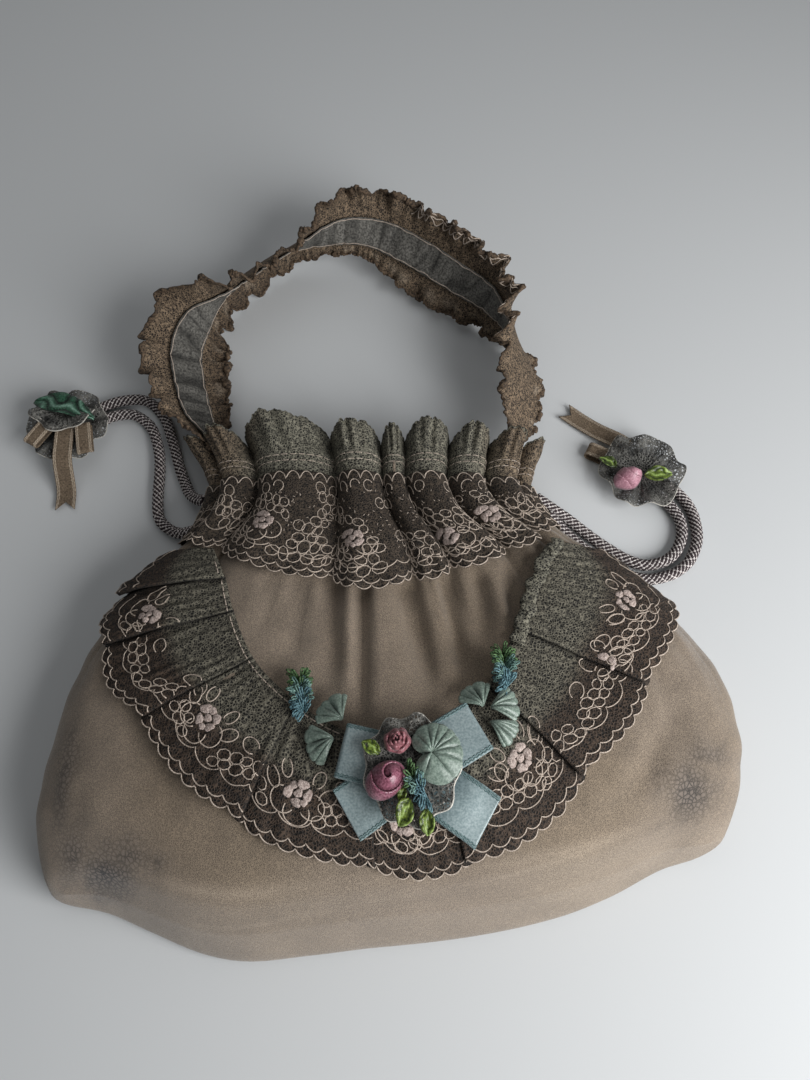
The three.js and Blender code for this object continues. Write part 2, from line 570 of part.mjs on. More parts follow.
function handleLace() {
  const rows = HANDLE_ROWS.map((row, index) => ({ ...row, index }));
  const shares = [-1, -HANDLE_FLAT, HANDLE_FLAT, 1];
  const grid = makeGrid(HANDLE_FRILLS * HANDLE_FRILL_STEPS + 1, shares.length, (i, j) => {
    const frame = handleFrame(rows, handlePlace(i));
    const reach = columnAt(rows, "index", shares[j] > 0 ? "high" : "low", handlePlace(i));
    const free = Math.abs(shares[j]) === 1 ? (reach / HANDLE_REACH) ** HANDLE_FRILL_POWER : 0;
    const wave = Math.cos((Math.PI * 2 * i) / HANDLE_FRILL_STEPS) * HANDLE_FRILL_RISE * free;
    const swing = shares[j] === -1 ? columnAt(rows, "index", "swing", handlePlace(i)) : 0;
    const point = frame.middle.addScaledVector(frame.across, reach * shares[j]);
    point.addScaledVector(frame.inward, wave + swing);
    return point.setZ(Math.max(point.z, LACE));
  });
  return sheetSolid(grid, -LACE / 2, LACE / 2);
}

function handleBand() {
  const rows = HANDLE_ROWS.map((row, index) => ({ ...row, index }));
  const points = HANDLE_FRILLS * HANDLE_FRILL_STEPS + 1 - 2 * HANDLE_BAND_INSET;
  const grid = makeGrid(points, 2, (i, j) => {
    const frame = handleFrame(rows, handlePlace(i + HANDLE_BAND_INSET));
    const lace = columnAt(rows, "index", j > 0 ? "high" : "low", handlePlace(i + HANDLE_BAND_INSET));
    const half = Math.min(lace * HANDLE_FLAT, HANDLE_BAND_HALF);
    return frame.middle.addScaledVector(frame.across, half * (2 * j - 1));
  });
  const low = LACE / 2 + HANDLE_BAND_LIFT;
  return sheetSolid(grid, low, low + ORGANZA);
}

// Braided cord as a plain round tube along its route
function drawcord(route) {
  const curve = new THREE.CatmullRomCurve3(route.map((point) => new THREE.Vector3(...point)));
  const section = new THREE.Shape();
  for (let side = 0; side < CORD_SIDES; side += 1) {
    const angle = ((side + 0.5) * 2 * Math.PI) / CORD_SIDES;
    const corner = [(CORD / 2) * Math.cos(angle), (CORD / 2) * Math.sin(angle)];
    if (side === 0) section.moveTo(...corner);
    else section.lineTo(...corner);
  }
  section.closePath();
  return new THREE.ExtrudeGeometry(section, { steps: CORD_STEPS, extrudePath: curve });
}

// Ribbon laid flat; rise gives its height above the seat along its length
function ribbonTail(place, start, length, width, riseAt) {
  const grid = makeGrid(RIBBON_STEPS + 1, 2, (i, j) => {
    const along = start + ((length - start) * i) / RIBBON_STEPS;
    return place(along, width * (j - 0.5), riseAt(along) + RIBBON / 2);
  });
  return sheetSolid(grid, -RIBBON / 2, RIBBON / 2);
}

// Ribbon that runs out, turns over at its end and comes back above itself
function ribbonLoop(place, start, length, width, seat, rise) {
  const radius = rise / 2;
  const straight = length - radius - RIBBON / 2;
  const bend = LOOP_STEPS / 2;
  const profile = [[start, 0]];
  for (let step = 0; step <= bend; step += 1) {
    const angle = Math.PI * (step / bend - 0.5);
    profile.push([straight + radius * Math.cos(angle), radius + radius * Math.sin(angle)]);
  }
  profile.push([start, rise]);
  const grid = makeGrid(profile.length, 2, (i, j) =>
    place(profile[i][0], width * (j - 0.5), seat + RIBBON / 2 + profile[i][1]),
  );
  return sheetSolid(grid, -RIBBON / 2, RIBBON / 2);
}

// Gathered round of tulle or silk: flat in the middle, waved towards its edge
function ruffledRound(place, round, seat) {
  const columns = round.waves * 2;
  const grid = makeGrid(columns, ROUND_SHARES.length, (i, j) => {
    const angle = (Math.PI * 2 * i) / columns;
    const radius = THREE.MathUtils.lerp(round.inner, round.outer, ROUND_SHARES[j]);
    const wave = round.wave * smoothstep(ROUND_FLAT, 1, ROUND_SHARES[j]) * (1 + Math.cos(Math.PI * i));
    return place(radius * Math.cos(angle), radius * Math.sin(angle), seat + LACE / 2 + wave);
  });
  return sheetSolid(grid, -LACE / 2, LACE / 2, { closed: true });
}

// Closed round form on the seat, shaped by a function of the angle round it and the share of its height
function roundForm(place, size, seat, sides, bands, shape) {
  const geometry = new THREE.SphereGeometry(1, sides, bands).rotateX(Math.PI / 2);
  const position = geometry.getAttribute("position");
  for (let index = 0; index < position.count; index += 1) {
    const x = position.getX(index);
    const y = position.getY(index);
    const z = position.getZ(index);
    const swell = shape(Math.atan2(y, x), z);
    const above = seat + ((z + 1) / 2) * size.height;
    const point = place((x * swell * size.width) / 2, (y * swell * size.length) / 2, above);
    position.setXYZ(index, point.x, point.y, point.z);
  }
  return geometry;
}

function rolledFlower(place, size, seat) {
  const swell = (angle, z) => 1 + size.swirl * Math.cos(FLOWER_PETALS * (angle + z));
  return roundForm(place, size, seat, FLOWER_SIDES, FLOWER_BANDS, swell);
}

function loopTuft(place, size, seat) {
  const form = { width: 2 * size.radius, length: 2 * size.radius, height: size.height };
  const lobes = (angle) => 1 - TUFT_LOBE / 2 + (TUFT_LOBE / 2) * Math.cos(size.lobes * angle);
  return roundForm(place, form, seat, size.lobes * 2, TUFT_BANDS, lobes);
}

function leaf(place, size, seat) {
  const grid = makeGrid(LEAF_STEPS + 1, 3, (i, j) => {
    const share = i / LEAF_STEPS;
    const half = (size.width / 2) * Math.max(Math.sin(Math.PI * share), LEAF_TIP);
    return place(size.length * share, half * (j - 1), seat + RIBBON / 2 + LEAF_RISE * Math.abs(j - 1));
  });
  return sheetSolid(grid, -RIBBON / 2, RIBBON / 2);
}

function fanPetal(place, size, seat) {
  const grid = makeGrid(2 * PETAL_PLEATS + 1, PETAL_BANDS + 1, (i, j) => {
    const angle = size.spread * DEGREE * (0.5 - i / (2 * PETAL_PLEATS));
    const radius = THREE.MathUtils.lerp(PETAL_ROOT, size.length, j / PETAL_BANDS);
    const rise = i % 2 ? (PETAL_PLEAT_RISE * radius) / size.length : 0;
    return place(radius * Math.cos(angle), radius * Math.sin(angle), seat + RIBBON / 2 + rise);
  });
  return sheetSolid(grid, -RIBBON / 2, RIBBON / 2);
}

function addCorsage(group) {
  for (const tail of BOW_TAILS) {
    const place = onFront({ ...CORSAGE, turn: tail.turn });
    const flat = () => ABOVE_SWAG;
    addPiece(group, tail.name, ribbonTail(place, BOW_TAIL_START, tail.length, BOW_WIDTH, flat), "satin");
  }
  for (const loop of BOW_LOOPS) {
    const place = onFront({ ...CORSAGE, turn: loop.turn });
    const solid = ribbonLoop(place, BOW_START, loop.length, BOW_WIDTH, ABOVE_TAILS, BOW_LOOP_RISE);
    addPiece(group, loop.name, solid, "satin");
  }
  addPiece(group, "corsage_rosette", ruffledRound(onFront(CORSAGE), ROSETTE, ABOVE_LOOPS), "tulle");
  addPiece(group, "corsage_rose", rolledFlower(onFront(ROSE), ROSE, ABOVE_ROSETTE + ROSE.step), "rose");
  const budSeat = ABOVE_ROSETTE + ROSEBUD.step;
  addPiece(group, "corsage_rosebud", rolledFlower(onFront(ROSEBUD), ROSEBUD, budSeat), "mauve");
  addPiece(group, "corsage_yoyo", ruffledRound(onFront(YOYO), YOYO, ABOVE_ROSETTE + YOYO.step), "sage");
  addPiece(group, "corsage_loops", loopTuft(onFront(CORSAGE_TUFT), CORSAGE_TUFT, ABOVE_ROSETTE), "loops");
  CORSAGE_LEAVES.forEach((size, index) => {
    addPiece(group, `corsage_leaf_${index + 1}`, leaf(onFront(size), size, ABOVE_ROSETTE + size.step), "leaf");
  });
}

function addSprigs(group) {
  for (const petal of SPRIG_PETALS) {
    addPiece(group, petal.name, fanPetal(onFront(petal), petal, ABOVE_SWAG + petal.step), "sage");
  }
  for (const tuft of SPRIG_TUFTS) {
    addPiece(group, tuft.name, loopTuft(onFront(tuft), tuft, ABOVE_SWAG + tuft.step), "loops");
  }
}

// Height of a tail that starts on or under its rosette and comes down to the surface
function tailHeight(tail) {
  return (along) => THREE.MathUtils.lerp(tail.high, tail.low, smoothstep(tail.from, tail.to, along));
}

function addLeftTassel(group) {
  const rosette = ruffledRound(onSurface(TASSEL_LEFT), TASSEL_ROSETTE, TASSEL_FLOOR);
  addPiece(group, "tassel_left_rosette", rosette, "tulle");
  addPiece(group, "tassel_left_leaf", leaf(onSurface(LEFT_LEAF), LEFT_LEAF, ABOVE_RUFFLES), "darkLeaf");
  const tail = ribbonTail(onSurface(LEFT_TAIL), 0, LEFT_TAIL.length, TAIL_WIDTH, tailHeight(LEFT_TAIL));
  addPiece(group, "tassel_left_tail", tail, "grosgrain");
  for (const loop of LEFT_LOOPS) {
    const solid = ribbonLoop(onSurface(loop), 0, loop.length, loop.width, ABOVE_RUFFLES, TASSEL_LOOP_RISE);
    addPiece(group, loop.name, solid, "grosgrain");
  }
}

function addRightTassel(group) {
  const rosette = ruffledRound(onSurface(TASSEL_RIGHT), TASSEL_ROSETTE, TASSEL_FLOOR);
  addPiece(group, "tassel_right_rosette", rosette, "tulle");
  const bud = rolledFlower(onSurface(RIGHT_BUD), RIGHT_BUD, ABOVE_TASSEL);
  addPiece(group, "tassel_right_bud", bud, "rose");
  for (const size of RIGHT_LEAVES) {
    addPiece(group, size.name, leaf(onSurface(size), size, ABOVE_RUFFLES + size.step), "leaf");
  }
  const tail = ribbonTail(onSurface(RIGHT_TAIL), 0, RIGHT_TAIL.length, TAIL_WIDTH, tailHeight(RIGHT_TAIL));
  addPiece(group, "tassel_right_tail", tail, "grosgrain");
  const { name, length, width } = RIGHT_LOOP;
  const loop = ribbonLoop(onSurface(RIGHT_LOOP), 0, length, width, TABLE_LOOP_FLOOR, TABLE_LOOP_RISE);
  addPiece(group, name, loop, "grosgrain");
}

function buildPouch() {
  const group = new THREE.Group();
  addPiece(group, "pouch_body", pouchBody(), "organza");
  addPiece(group, "neck_heading", neckHeading(), "heading");
  addPiece(group, "neck_lace", neckLace(), "brownLace");
  addPiece(group, "lace_swag", laceSwag(), "brownLace");
  addPiece(group, "handle_lace", handleLace(), "handleLace");
  addPiece(group, "handle_band", handleBand(), "handleBand");
  addPiece(group, "drawcord_left_upper", drawcord(CORD_LEFT_UPPER), "cord");
  addPiece(group, "drawcord_left_lower", drawcord(CORD_LEFT_LOWER), "cord");
  addPiece(group, "drawcord_right_upper", drawcord(CORD_RIGHT_UPPER), "cord");
  addPiece(group, "drawcord_right_lower", drawcord(CORD_RIGHT_LOWER), "cord");
  addLeftTassel(group);
  addRightTassel(group);
  addCorsage(group);
  addSprigs(group);
  return group;
}

export default buildPouch();
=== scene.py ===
import math

import bpy
import numpy as np
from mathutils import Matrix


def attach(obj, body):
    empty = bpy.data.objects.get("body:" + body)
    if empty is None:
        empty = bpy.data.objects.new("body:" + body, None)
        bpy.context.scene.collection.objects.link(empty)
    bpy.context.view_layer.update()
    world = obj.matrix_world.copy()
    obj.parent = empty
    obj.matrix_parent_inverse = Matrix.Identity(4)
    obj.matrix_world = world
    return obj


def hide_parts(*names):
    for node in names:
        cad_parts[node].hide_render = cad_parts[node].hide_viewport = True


# Looks of a drawstring pouch of sheer organza with lace, ribbon and satin flowers, lying on its back.
# Metres, +Z up. z = 0 is the surface that it lies on, +Y runs from the base to the handle and +X is to
# the right of the decorated front. All shapes are worked out by code from the tables below.

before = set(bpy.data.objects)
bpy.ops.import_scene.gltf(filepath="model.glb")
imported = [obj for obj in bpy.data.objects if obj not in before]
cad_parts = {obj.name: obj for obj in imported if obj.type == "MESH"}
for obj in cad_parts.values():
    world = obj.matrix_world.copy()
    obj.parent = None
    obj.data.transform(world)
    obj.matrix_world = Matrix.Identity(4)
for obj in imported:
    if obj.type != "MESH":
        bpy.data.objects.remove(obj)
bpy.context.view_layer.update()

TURN = 2 * math.pi


def table(names, rows):
    """Table with named columns."""
    return dict(zip(names.split(), np.array(rows, dtype=float).T))


def rows_of(columns):
    return zip(*columns.values())


# Cloth: the room that a layer takes, the gap between layers, and the walls that are seen
LACE_ROOM = 0.001
RIBBON_ROOM = 0.001
ORGANZA_ROOM = 0.0012
LAYER_GAP = 0.0004
ORGANZA_WALL = 0.0005
LACE_WALL = 0.0004
RIBBON_WALL = 0.0004

# The sack: stations from the base to the heading
HALF_WIDTH = 0.128
ROUND_FRONT = 2.4
ROUND_BACK = 4
BASE_Y = -0.087
CASING_HIGH_Y = 0.097
SECTIONS = table("y left right waist top back tilt bow lean", [
    (-0.087, -0.123, 0.121, 0.013, 0.036, -0.001, 0.0085, 0.026, 0.62),
    (-0.072, -0.127, 0.126, 0.015, 0.042, -0.002, 0.0085, 0.022, 0.45),
    (-0.048, -0.128, 0.128, 0.016, 0.046, -0.002, 0.007, 0.012, 0.22),
    (-0.018, -0.126, 0.129, 0.016, 0.046, -0.002, 0.003, 0.003, 0.05),
    (0.010, -0.121, 0.124, 0.016, 0.043, -0.002, 0, 0, 0),
    (0.035, -0.109, 0.107, 0.015, 0.039, -0.001, 0, 0, 0),
    (0.058, -0.091, 0.084, 0.015, 0.035, 0.003, 0, 0, 0),
    (0.074, -0.078, 0.062, 0.016, 0.031, 0.006, 0, 0, 0),
    (0.088, -0.075, 0.054, 0.017, 0.0295, 0.0066, 0, 0, 0),
    (0.100, -0.079, 0.056, 0.017, 0.0295, 0.0066, 0, 0, 0),
    (0.112, -0.086, 0.060, 0.017, 0.030, 0.0066, 0, 0, 0),
    (0.126, -0.095, 0.065, 0.017, 0.0305, 0.0062, 0, 0, 0),
])

# Gathers round the neck: degrees from the right side over the front, how far a fold stands out, and the
# top of the heading there
FRONT_FOLDS = table("at depth crest", [
    (-18, 0.0030, 0.1155), (18, 0.0034, 0.1155), (45, 0.0040, 0.115), (64, 0.0042, 0.1165),
    (80, 0.0020, 0.114), (87, 0.0044, 0.1155), (99, 0.0046, 0.1195), (133, 0.0034, 0.116),
    (162, 0.0030, 0.117),
])
BACK_FOLD_SHARE = 0.5
FOLD_ROUNDNESS = 0.7
FOLD_PITCH = 0.02
BODY_FOLD_STEPS = 16
LACE_FOLD_STEPS = 40
NECK_GROOVE = 0.0044

# Stations between which the folds, those of the sack's thin cloth and the grooves come to their full depth
GATHER = (-0.010, 0.092)
DRAPE = (-0.034, 0.078)
GROOVE = (0.040, 0.085)

# Uneven ripples of the cloth, its threads and its shades: height or share, length and seed
RIPPLES = {
    "sack_slack": (0.0009, 0.045, 3),
    "sack_crumple": (0.0003, 0.011, 6),
    "net_blotch": (0.45, 0.014, 8),
    "net_fleck": (0.25, 0.006, 9),
    "base_streak": (0.35, 0.05, 12),
    "sack_shade": (0.6, 0.07, 13),
    "heading_fuzz": (0.0008, 0.003, 5),
    "heading_crimp": (0.0010, 0.012, 17),
    "oval_cluster": (1, 0.017, 21),
    "swag_puff": (0.0006, 0.03, 21),
    "swag_crumple": (0.0004, 0.007, 22),
    "binding_sway": (0.0010, 0.009, 24),
    "binding_rise": (0.0007, 0.006, 25),
    "binding_width": (0.0005, 0.005, 26),
    "band_pucker": (0.0005, 0.007, 31),
    "band_crease": (2.2, 0.035, 33),
    "band_mottle": (1, 0.010, 34),
    "band_thread": (0.0003, 0.008, 36),
    "handle_lump": (0.5, 0.012, 35),
    "handle_knob": (1, 0.0065, 37),
    "handle_sheer": (1, 0.015, 38),
    "ribbon_curl": (0.5, 0.016, 41),
    "ribbon_shade": (0.15, 0.012, 61),
}
RIPPLE_WAVES = 5
RIPPLE_SPREAD = (0.7, 1.5)
RIPPLE_LEVEL = 3


def smoothstep(low, high, value):
    share = np.clip((value - low) / (high - low), 0, 1)
    return share * share * (3 - 2 * share)


def mix(start, end, share):
    return start + (end - start) * share


def bell(value, middle, width):
    return np.exp(-(((value - middle) / width) ** 2))


def signed_power(value, power):
    return np.sign(value) * np.abs(value) ** power


def unit(vectors):
    size = np.linalg.norm(vectors, axis=-1, keepdims=True)
    return vectors / np.maximum(size, 1e-12)


def rotated(x, y, turn):
    return x * math.cos(turn) - y * math.sin(turn), x * math.sin(turn) + y * math.cos(turn)


def lengths_along(points):
    """Length of the way from the first point to each point."""
    return np.concatenate([[0], np.cumsum(np.linalg.norm(np.diff(points, axis=0), axis=1))])


def uneven(x, y, length, seed):
    """Smooth uneven ripples between about -1 and 1, of a given length."""
    random = np.random.default_rng(seed)
    total = 0
    for _ in range(RIPPLE_WAVES):
        turn, phase = random.uniform(0, TURN, 2)
        wave = TURN / (length * random.uniform(*RIPPLE_SPREAD))
        total = total + np.sin(wave * (x * math.cos(turn) + y * math.sin(turn)) + phase)
    return total / RIPPLE_LEVEL


def ripple(name, x, y):
    height, length, seed = RIPPLES[name]
    return height * uneven(x, y, length, seed)


def hermite(t, start, end, start_slope, end_slope):
    """Smooth curve from start to end while t goes from 0 to 1."""
    rest = 1 - t
    ends = rest**2 * (1 + 2 * t) * start + t**2 * (3 - 2 * t) * end
    return ends + t * rest * (rest * start_slope - t * end_slope)


def column_at(rows, name, place):
    """Value of one column at places along the first column, by a smooth curve through the rows."""
    keys = next(iter(rows.values()))
    values = rows[name]
    slopes = np.gradient(values) / np.gradient(keys)
    row = np.clip(np.searchsorted(keys, place) - 1, 0, len(keys) - 2)
    step = keys[row + 1] - keys[row]
    t = np.clip((place - keys[row]) / step, 0, 1)
    return hermite(t, values[row], values[row + 1], step * slopes[row], step * slopes[row + 1])


def section_at(y):
    section = {name: column_at(SECTIONS, name, y) for name in SECTIONS if name != "y"}
    section["middle"] = (section["left"] + section["right"]) / 2
    section["half"] = (section["right"] - section["left"]) / 2
    return section


def carried(section, x, z):
    """How far the slant of the base carries a point of a section along y."""
    share = x / HALF_WIDTH
    return section["tilt"] * share + section["bow"] * share**2 + section["lean"] * z


def arch(across, roundness):
    """Height of the superellipse for a place across it, from -1 to 1."""
    rest = np.maximum(1 - np.abs(across) ** roundness, 0)
    return rest ** (1 / roundness)


def section_point(y, angle, lift):
    """Point of a section, at an angle from its right side over the front, moved out by lift."""
    y, angle, lift = np.broadcast_arrays(y, angle, lift)
    section = section_at(y)
    front = np.sin(angle) >= 0
    roundness = np.where(front, ROUND_FRONT, ROUND_BACK)
    across = signed_power(np.cos(angle), 2 / ROUND_FRONT)
    up = arch(across, roundness) * np.where(front, 1, -1)
    reach = np.where(front, section["top"] - section["waist"], section["waist"] - section["back"])
    out_x = signed_power(across, roundness - 1) / section["half"]
    out_z = signed_power(up, roundness - 1) / reach
    size = np.hypot(out_x, out_z)
    x = section["middle"] + section["half"] * across + lift * out_x / size
    z = np.maximum(section["waist"] + reach * up + lift * out_z / size, 0)
    return np.stack([x, y + carried(section, x, z), z], axis=-1)


def all_folds():
    """The folds round the whole neck, the front's and then the back's mirrored ones."""
    at, depth, crest = FRONT_FOLDS.values()
    back = slice(-2, 0, -1)
    return (
        np.concatenate([at, 360 - at[:1:-1]]),
        np.concatenate([depth, depth[back] * BACK_FOLD_SHARE]),
        np.concatenate([crest, crest[back]]),
    )


def neck_columns(steps):
    """Angle, fold and crest at points round the neck, from the right side over the back."""
    at, depth, crest = all_folds()
    count = len(at) * steps
    place = -np.arange(count) % count
    index, step = np.divmod(place, steps)
    share = step / steps
    ends = np.append(at[1:], at[0] + 360)
    columns = {
        "angle": np.radians(mix(at[index], ends[index], share)),
        "pipe": np.sin(np.pi * share) ** FOLD_ROUNDNESS,
        "depth": depth[index],
        "crest": crest[index],
        "share": share,
        "place": place / steps,
    }
    return {name: values[:, None] for name, values in columns.items()}


def neck_point(neck, y, lift=0.0, gathers=GATHER):
    """Outer surface of the gathered sack, moved out by lift, with grooves between its folds at the neck."""
    groove = NECK_GROOVE * (1 - neck["pipe"]) ** 2 * smoothstep(*GROOVE, y)
    fold = neck["depth"] * neck["pipe"] * smoothstep(*gathers, y)
    return section_point(y, neck["angle"], fold - groove + lift)


# Height of the front, looked up on a grid
FRONT_STEP = 0.001
FRONT_X = np.arange(-0.140, 0.1405, FRONT_STEP)
FRONT_Y = np.arange(-0.100, 0.1255, FRONT_STEP)
FRONT_SEARCH = 26


def front_heights():
    x, y = np.meshgrid(FRONT_X, FRONT_Y, indexing="ij")
    low = np.full_like(x, BASE_Y)
    high = np.full_like(x, SECTIONS["y"][-1])
    for _ in range(FRONT_SEARCH):
        station = (low + high) / 2
        section = section_at(station)
        across = (x - section["middle"]) / section["half"]
        height = section["waist"] + (section["top"] - section["waist"]) * arch(across, ROUND_FRONT)
        short = station + carried(section, x, height) < y
        low = np.where(short, station, low)
        high = np.where(short, high, station)
    return height


HEIGHTS = front_heights()
SLOPES = np.gradient(HEIGHTS, FRONT_STEP)


def between(values, column, row):
    """Values of a grid at places between its points."""
    i = np.clip(column.astype(int), 0, values.shape[0] - 2)
    j = np.clip(row.astype(int), 0, values.shape[1] - 2)
    a, b = column - i, row - j
    if values.ndim > 2:
        a, b = a[..., None], b[..., None]
    low, high = mix(values[i, j], values[i + 1, j], a), mix(values[i, j + 1], values[i + 1, j + 1], a)
    return mix(low, high, b)


def front_point(x, y, lift):
    """Point at a height above the sack's front."""
    x, y, lift = np.broadcast_arrays(np.asarray(x, float), np.asarray(y, float), np.asarray(lift, float))
    column = np.clip((x - FRONT_X[0]) / FRONT_STEP, 0, len(FRONT_X) - 1.001)
    row = np.clip((y - FRONT_Y[0]) / FRONT_STEP, 0, len(FRONT_Y) - 1.001)
    height, slope_x, slope_y = (between(values, column, row) for values in (HEIGHTS, *SLOPES))
    out = unit(np.stack([-slope_x, -slope_y, np.ones_like(x)], axis=-1))
    return np.stack([x, y, height], axis=-1) + out * lift[..., None]


def turned(x, y, turn, along, across):
    along, across = rotated(along, across, math.radians(turn))
    return x + along, y + across


def on_front(x, y, turn=0.0):
    """Places along, across and above, turned about a point of the front."""
    return lambda along, across, above: front_point(*turned(x, y, turn, along, across), above)


def on_surface(x, y, turn=0.0):
    """Places along, across and above, turned about a point of the surface."""
    def point(along, across, above):
        along, across, above = np.broadcast_arrays(along, across, above)
        return np.stack([*turned(x, y, turn, along, across), above], axis=-1)
    return point


# Meshes
def settle(piece, nodes):
    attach(piece, "root")
    if nodes:
        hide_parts(*nodes)
    return piece


def mesh_object(name, points, faces, materials, slots=None, paint=None):
    used, faces = np.unique(faces, return_inverse=True)
    faces = faces.reshape(-1, 4)
    mesh = bpy.data.meshes.new(name)
    mesh.from_pydata(points[used].tolist(), [], faces.tolist())
    for material in materials:
        mesh.materials.append(material)
    if slots is not None:
        mesh.polygons.foreach_set("material_index", slots.astype(np.int32))
    if paint is not None:
        colours = np.ones((len(used), 4), np.float32)
        colours[:, :3] = paint[used]
        attribute = mesh.color_attributes.new("paint", "FLOAT_COLOR", "POINT")
        attribute.data.foreach_set("color", colours.ravel())
    mesh.shade_smooth()
    mesh.update()
    piece = bpy.data.objects.new(name + "_look", mesh)
    bpy.context.scene.collection.objects.link(piece)
    return piece


class Heap:
    """Many small shapes that become one mesh."""

    def __init__(self):
        self.points = []
        self.faces = []
        self.slots = []
        self.count = 0

    def add(self, points, faces, slot=0):
        self.points.append(points)
        self.faces.append(faces + self.count)
        self.slots.append(np.full(len(faces), slot))
        self.count += len(points)

    def make(self, name, slot, materials, nodes=()):
        points, faces = np.concatenate(self.points), np.concatenate(self.faces)
        return settle(mesh_object(name, points, faces, materials, np.concatenate(self.slots)), nodes)


def grid_normals(grid, closed=False):
    if closed:
        along = np.roll(grid, -1, axis=0) - np.roll(grid, 1, axis=0)
    else:
        along = np.gradient(grid, axis=0)
    return unit(np.cross(along, np.gradient(grid, axis=1)))


def quads(a, b, c, d):
    return np.stack([a, b, c, d], axis=-1).reshape(-1, 4)


def painted(grid, red=0.0, green=0.0, blue=0.0):
    """Shares of the paints at the points of a grid."""
    paint = np.zeros(grid.shape)
    for channel, share in enumerate((red, green, blue)):
        paint[..., channel] = share
    return paint


def sheet(name, grid, wall, material, closed=False, paint=None, partner=None, sunk=0.5, nodes=None):
    """Cloth on a grid of points, with two skins and closed edges.

    sunk is the share of the wall that lies under the grid, and partner pairs the points of the first row
    where a sack is folded shut. The piece stands for the solid of its own name where no nodes are given.
    """
    columns, rows = grid.shape[:2]
    normals = grid_normals(grid, closed)
    upper = np.arange(columns * rows).reshape(columns, rows)
    lower = upper + columns * rows
    if partner is not None:
        normals[:, 0] = unit(normals[:, 1] + normals[partner, 1])
        upper[:, 0] = np.minimum(upper[:, 0], upper[partner, 0])
        lower[:, 0] = np.minimum(lower[:, 0], lower[partner, 0])
    if closed:
        upper = np.vstack([upper, upper[:1]])
        lower = np.vstack([lower, lower[:1]])
    faces = [
        quads(upper[:-1, :-1], upper[1:, :-1], upper[1:, 1:], upper[:-1, 1:]),
        quads(lower[:-1, :-1], lower[:-1, 1:], lower[1:, 1:], lower[1:, :-1]),
        quads(upper[:-1, -1], upper[1:, -1], lower[1:, -1], lower[:-1, -1]),
    ]
    if partner is None:
        faces.append(quads(upper[:-1, 0], lower[:-1, 0], lower[1:, 0], upper[1:, 0]))
    if not closed:
        faces.append(quads(upper[0, :-1], upper[0, 1:], lower[0, 1:], lower[0, :-1]))
        faces.append(quads(upper[-1, :-1], lower[-1, :-1], lower[-1, 1:], upper[-1, 1:]))
    skins = [(grid + normals * lift).reshape(-1, 3) for lift in (wall * (1 - sunk), -wall * sunk)]
    if paint is not None:
        paint = np.tile(paint.reshape(-1, 3), (2, 1))
    piece = mesh_object(name, np.concatenate(skins), np.concatenate(faces), [material], paint=paint)
    return settle(piece, (name,) if nodes is None else nodes)


def closed_skin(rings):
    """Points and faces of a skin over a stack of rings, each with an even number of points."""
    count, sides = rings.shape[:2]
    ids = np.arange(count * sides).reshape(count, sides)
    after = np.roll(ids, -1, axis=1)
    faces = [quads(ids[:-1], after[:-1], after[1:], ids[1:])]
    for ring, order in ((ids[0], -1), (ids[-1], 1)):
        for corner in range(1, sides - 1, 2):
            faces.append(ring[None, [0, corner, corner + 1, corner + 2][::order]])
    return rings.reshape(-1, 3), np.concatenate(faces)


def tube(points, normals, half_width, half_height, sides=4):
    """Thread along points, flattened towards the normals; the halves may change along it."""
    along = unit(np.gradient(points, axis=0))
    across = unit(np.cross(normals, along))
    normals = np.cross(along, across)
    half_width = np.broadcast_to(half_width, len(points))[:, None]
    half_height = np.broadcast_to(half_height, len(points))[:, None]
    rings = []
    for angle in TURN * np.arange(sides) / sides:
        rings.append(points + across * half_width * math.cos(angle) + normals * half_height * math.sin(angle))
    return closed_skin(np.stack(rings, axis=1))


PAD_SIDES = 16
PAD_RINGS = ((1.0, 0.0), (0.94, 0.5), (0.74, 0.85), (0.36, 1.0))
PAD_SUNK = 0.15
# Uneven outline of a pad: share, waves round it, and how fast they shift along x and along y
PAD_WOBBLES = ((0.09, 3, 900), (0.07, 5, 700))


def pad(centre, along, across, normal, half_length, half_width, height):
    """Small raised pad of embroidery with an uneven outline."""
    angle = TURN * np.arange(PAD_SIDES) / PAD_SIDES
    wobble = 1
    for (share, waves, shift), place in zip(PAD_WOBBLES, centre):
        wobble = wobble + share * np.cos(waves * angle + shift * place)
    rings = []
    for reach, rise in PAD_RINGS:
        x = (np.cos(angle) * wobble)[:, None] * along * half_length * reach
        y = (np.sin(angle) * wobble)[:, None] * across * half_width * reach
        rings.append(centre + x + y + normal * height * (rise - PAD_SUNK))
    return closed_skin(np.array(rings))


CURVE_STEPS = 24


def curve_through(route, count):
    """Points evenly along a centripetal curve through the points of a route, and its length."""
    route = np.asarray(route, float)
    points = np.vstack([2 * route[0] - route[1], route, 2 * route[-1] - route[-2]])
    t = np.linspace(0, 1, CURVE_STEPS, endpoint=False)[:, None]
    dense = []
    for a, b, c, d in zip(points[:-3], points[1:-2], points[2:-1], points[3:]):
        before, span, after = (np.linalg.norm(v) ** 0.5 for v in (b - a, c - b, d - c))
        slope_b = ((b - a) / before - (c - a) / (before + span) + (c - b) / span) * span
        slope_c = ((c - b) / span - (d - b) / (span + after) + (d - c) / after) * span
        dense.append(hermite(t, b, c, slope_b, slope_c))
    dense = np.vstack(dense + [route[-1:]])
    length = lengths_along(dense)
    even = np.linspace(0, length[-1], count)
    return np.stack([np.interp(even, length, dense[:, axis]) for axis in range(3)], axis=-1), length[-1]


# Materials
def srgb(red, green, blue):
    """Linear colour from the red, green and blue of a display."""
    parts = []
    for part in (red, green, blue):
        parts.append(part / 12.92 if part <= 0.04045 else ((part + 0.055) / 1.055) ** 2.4)
    return (*parts, 1.0)


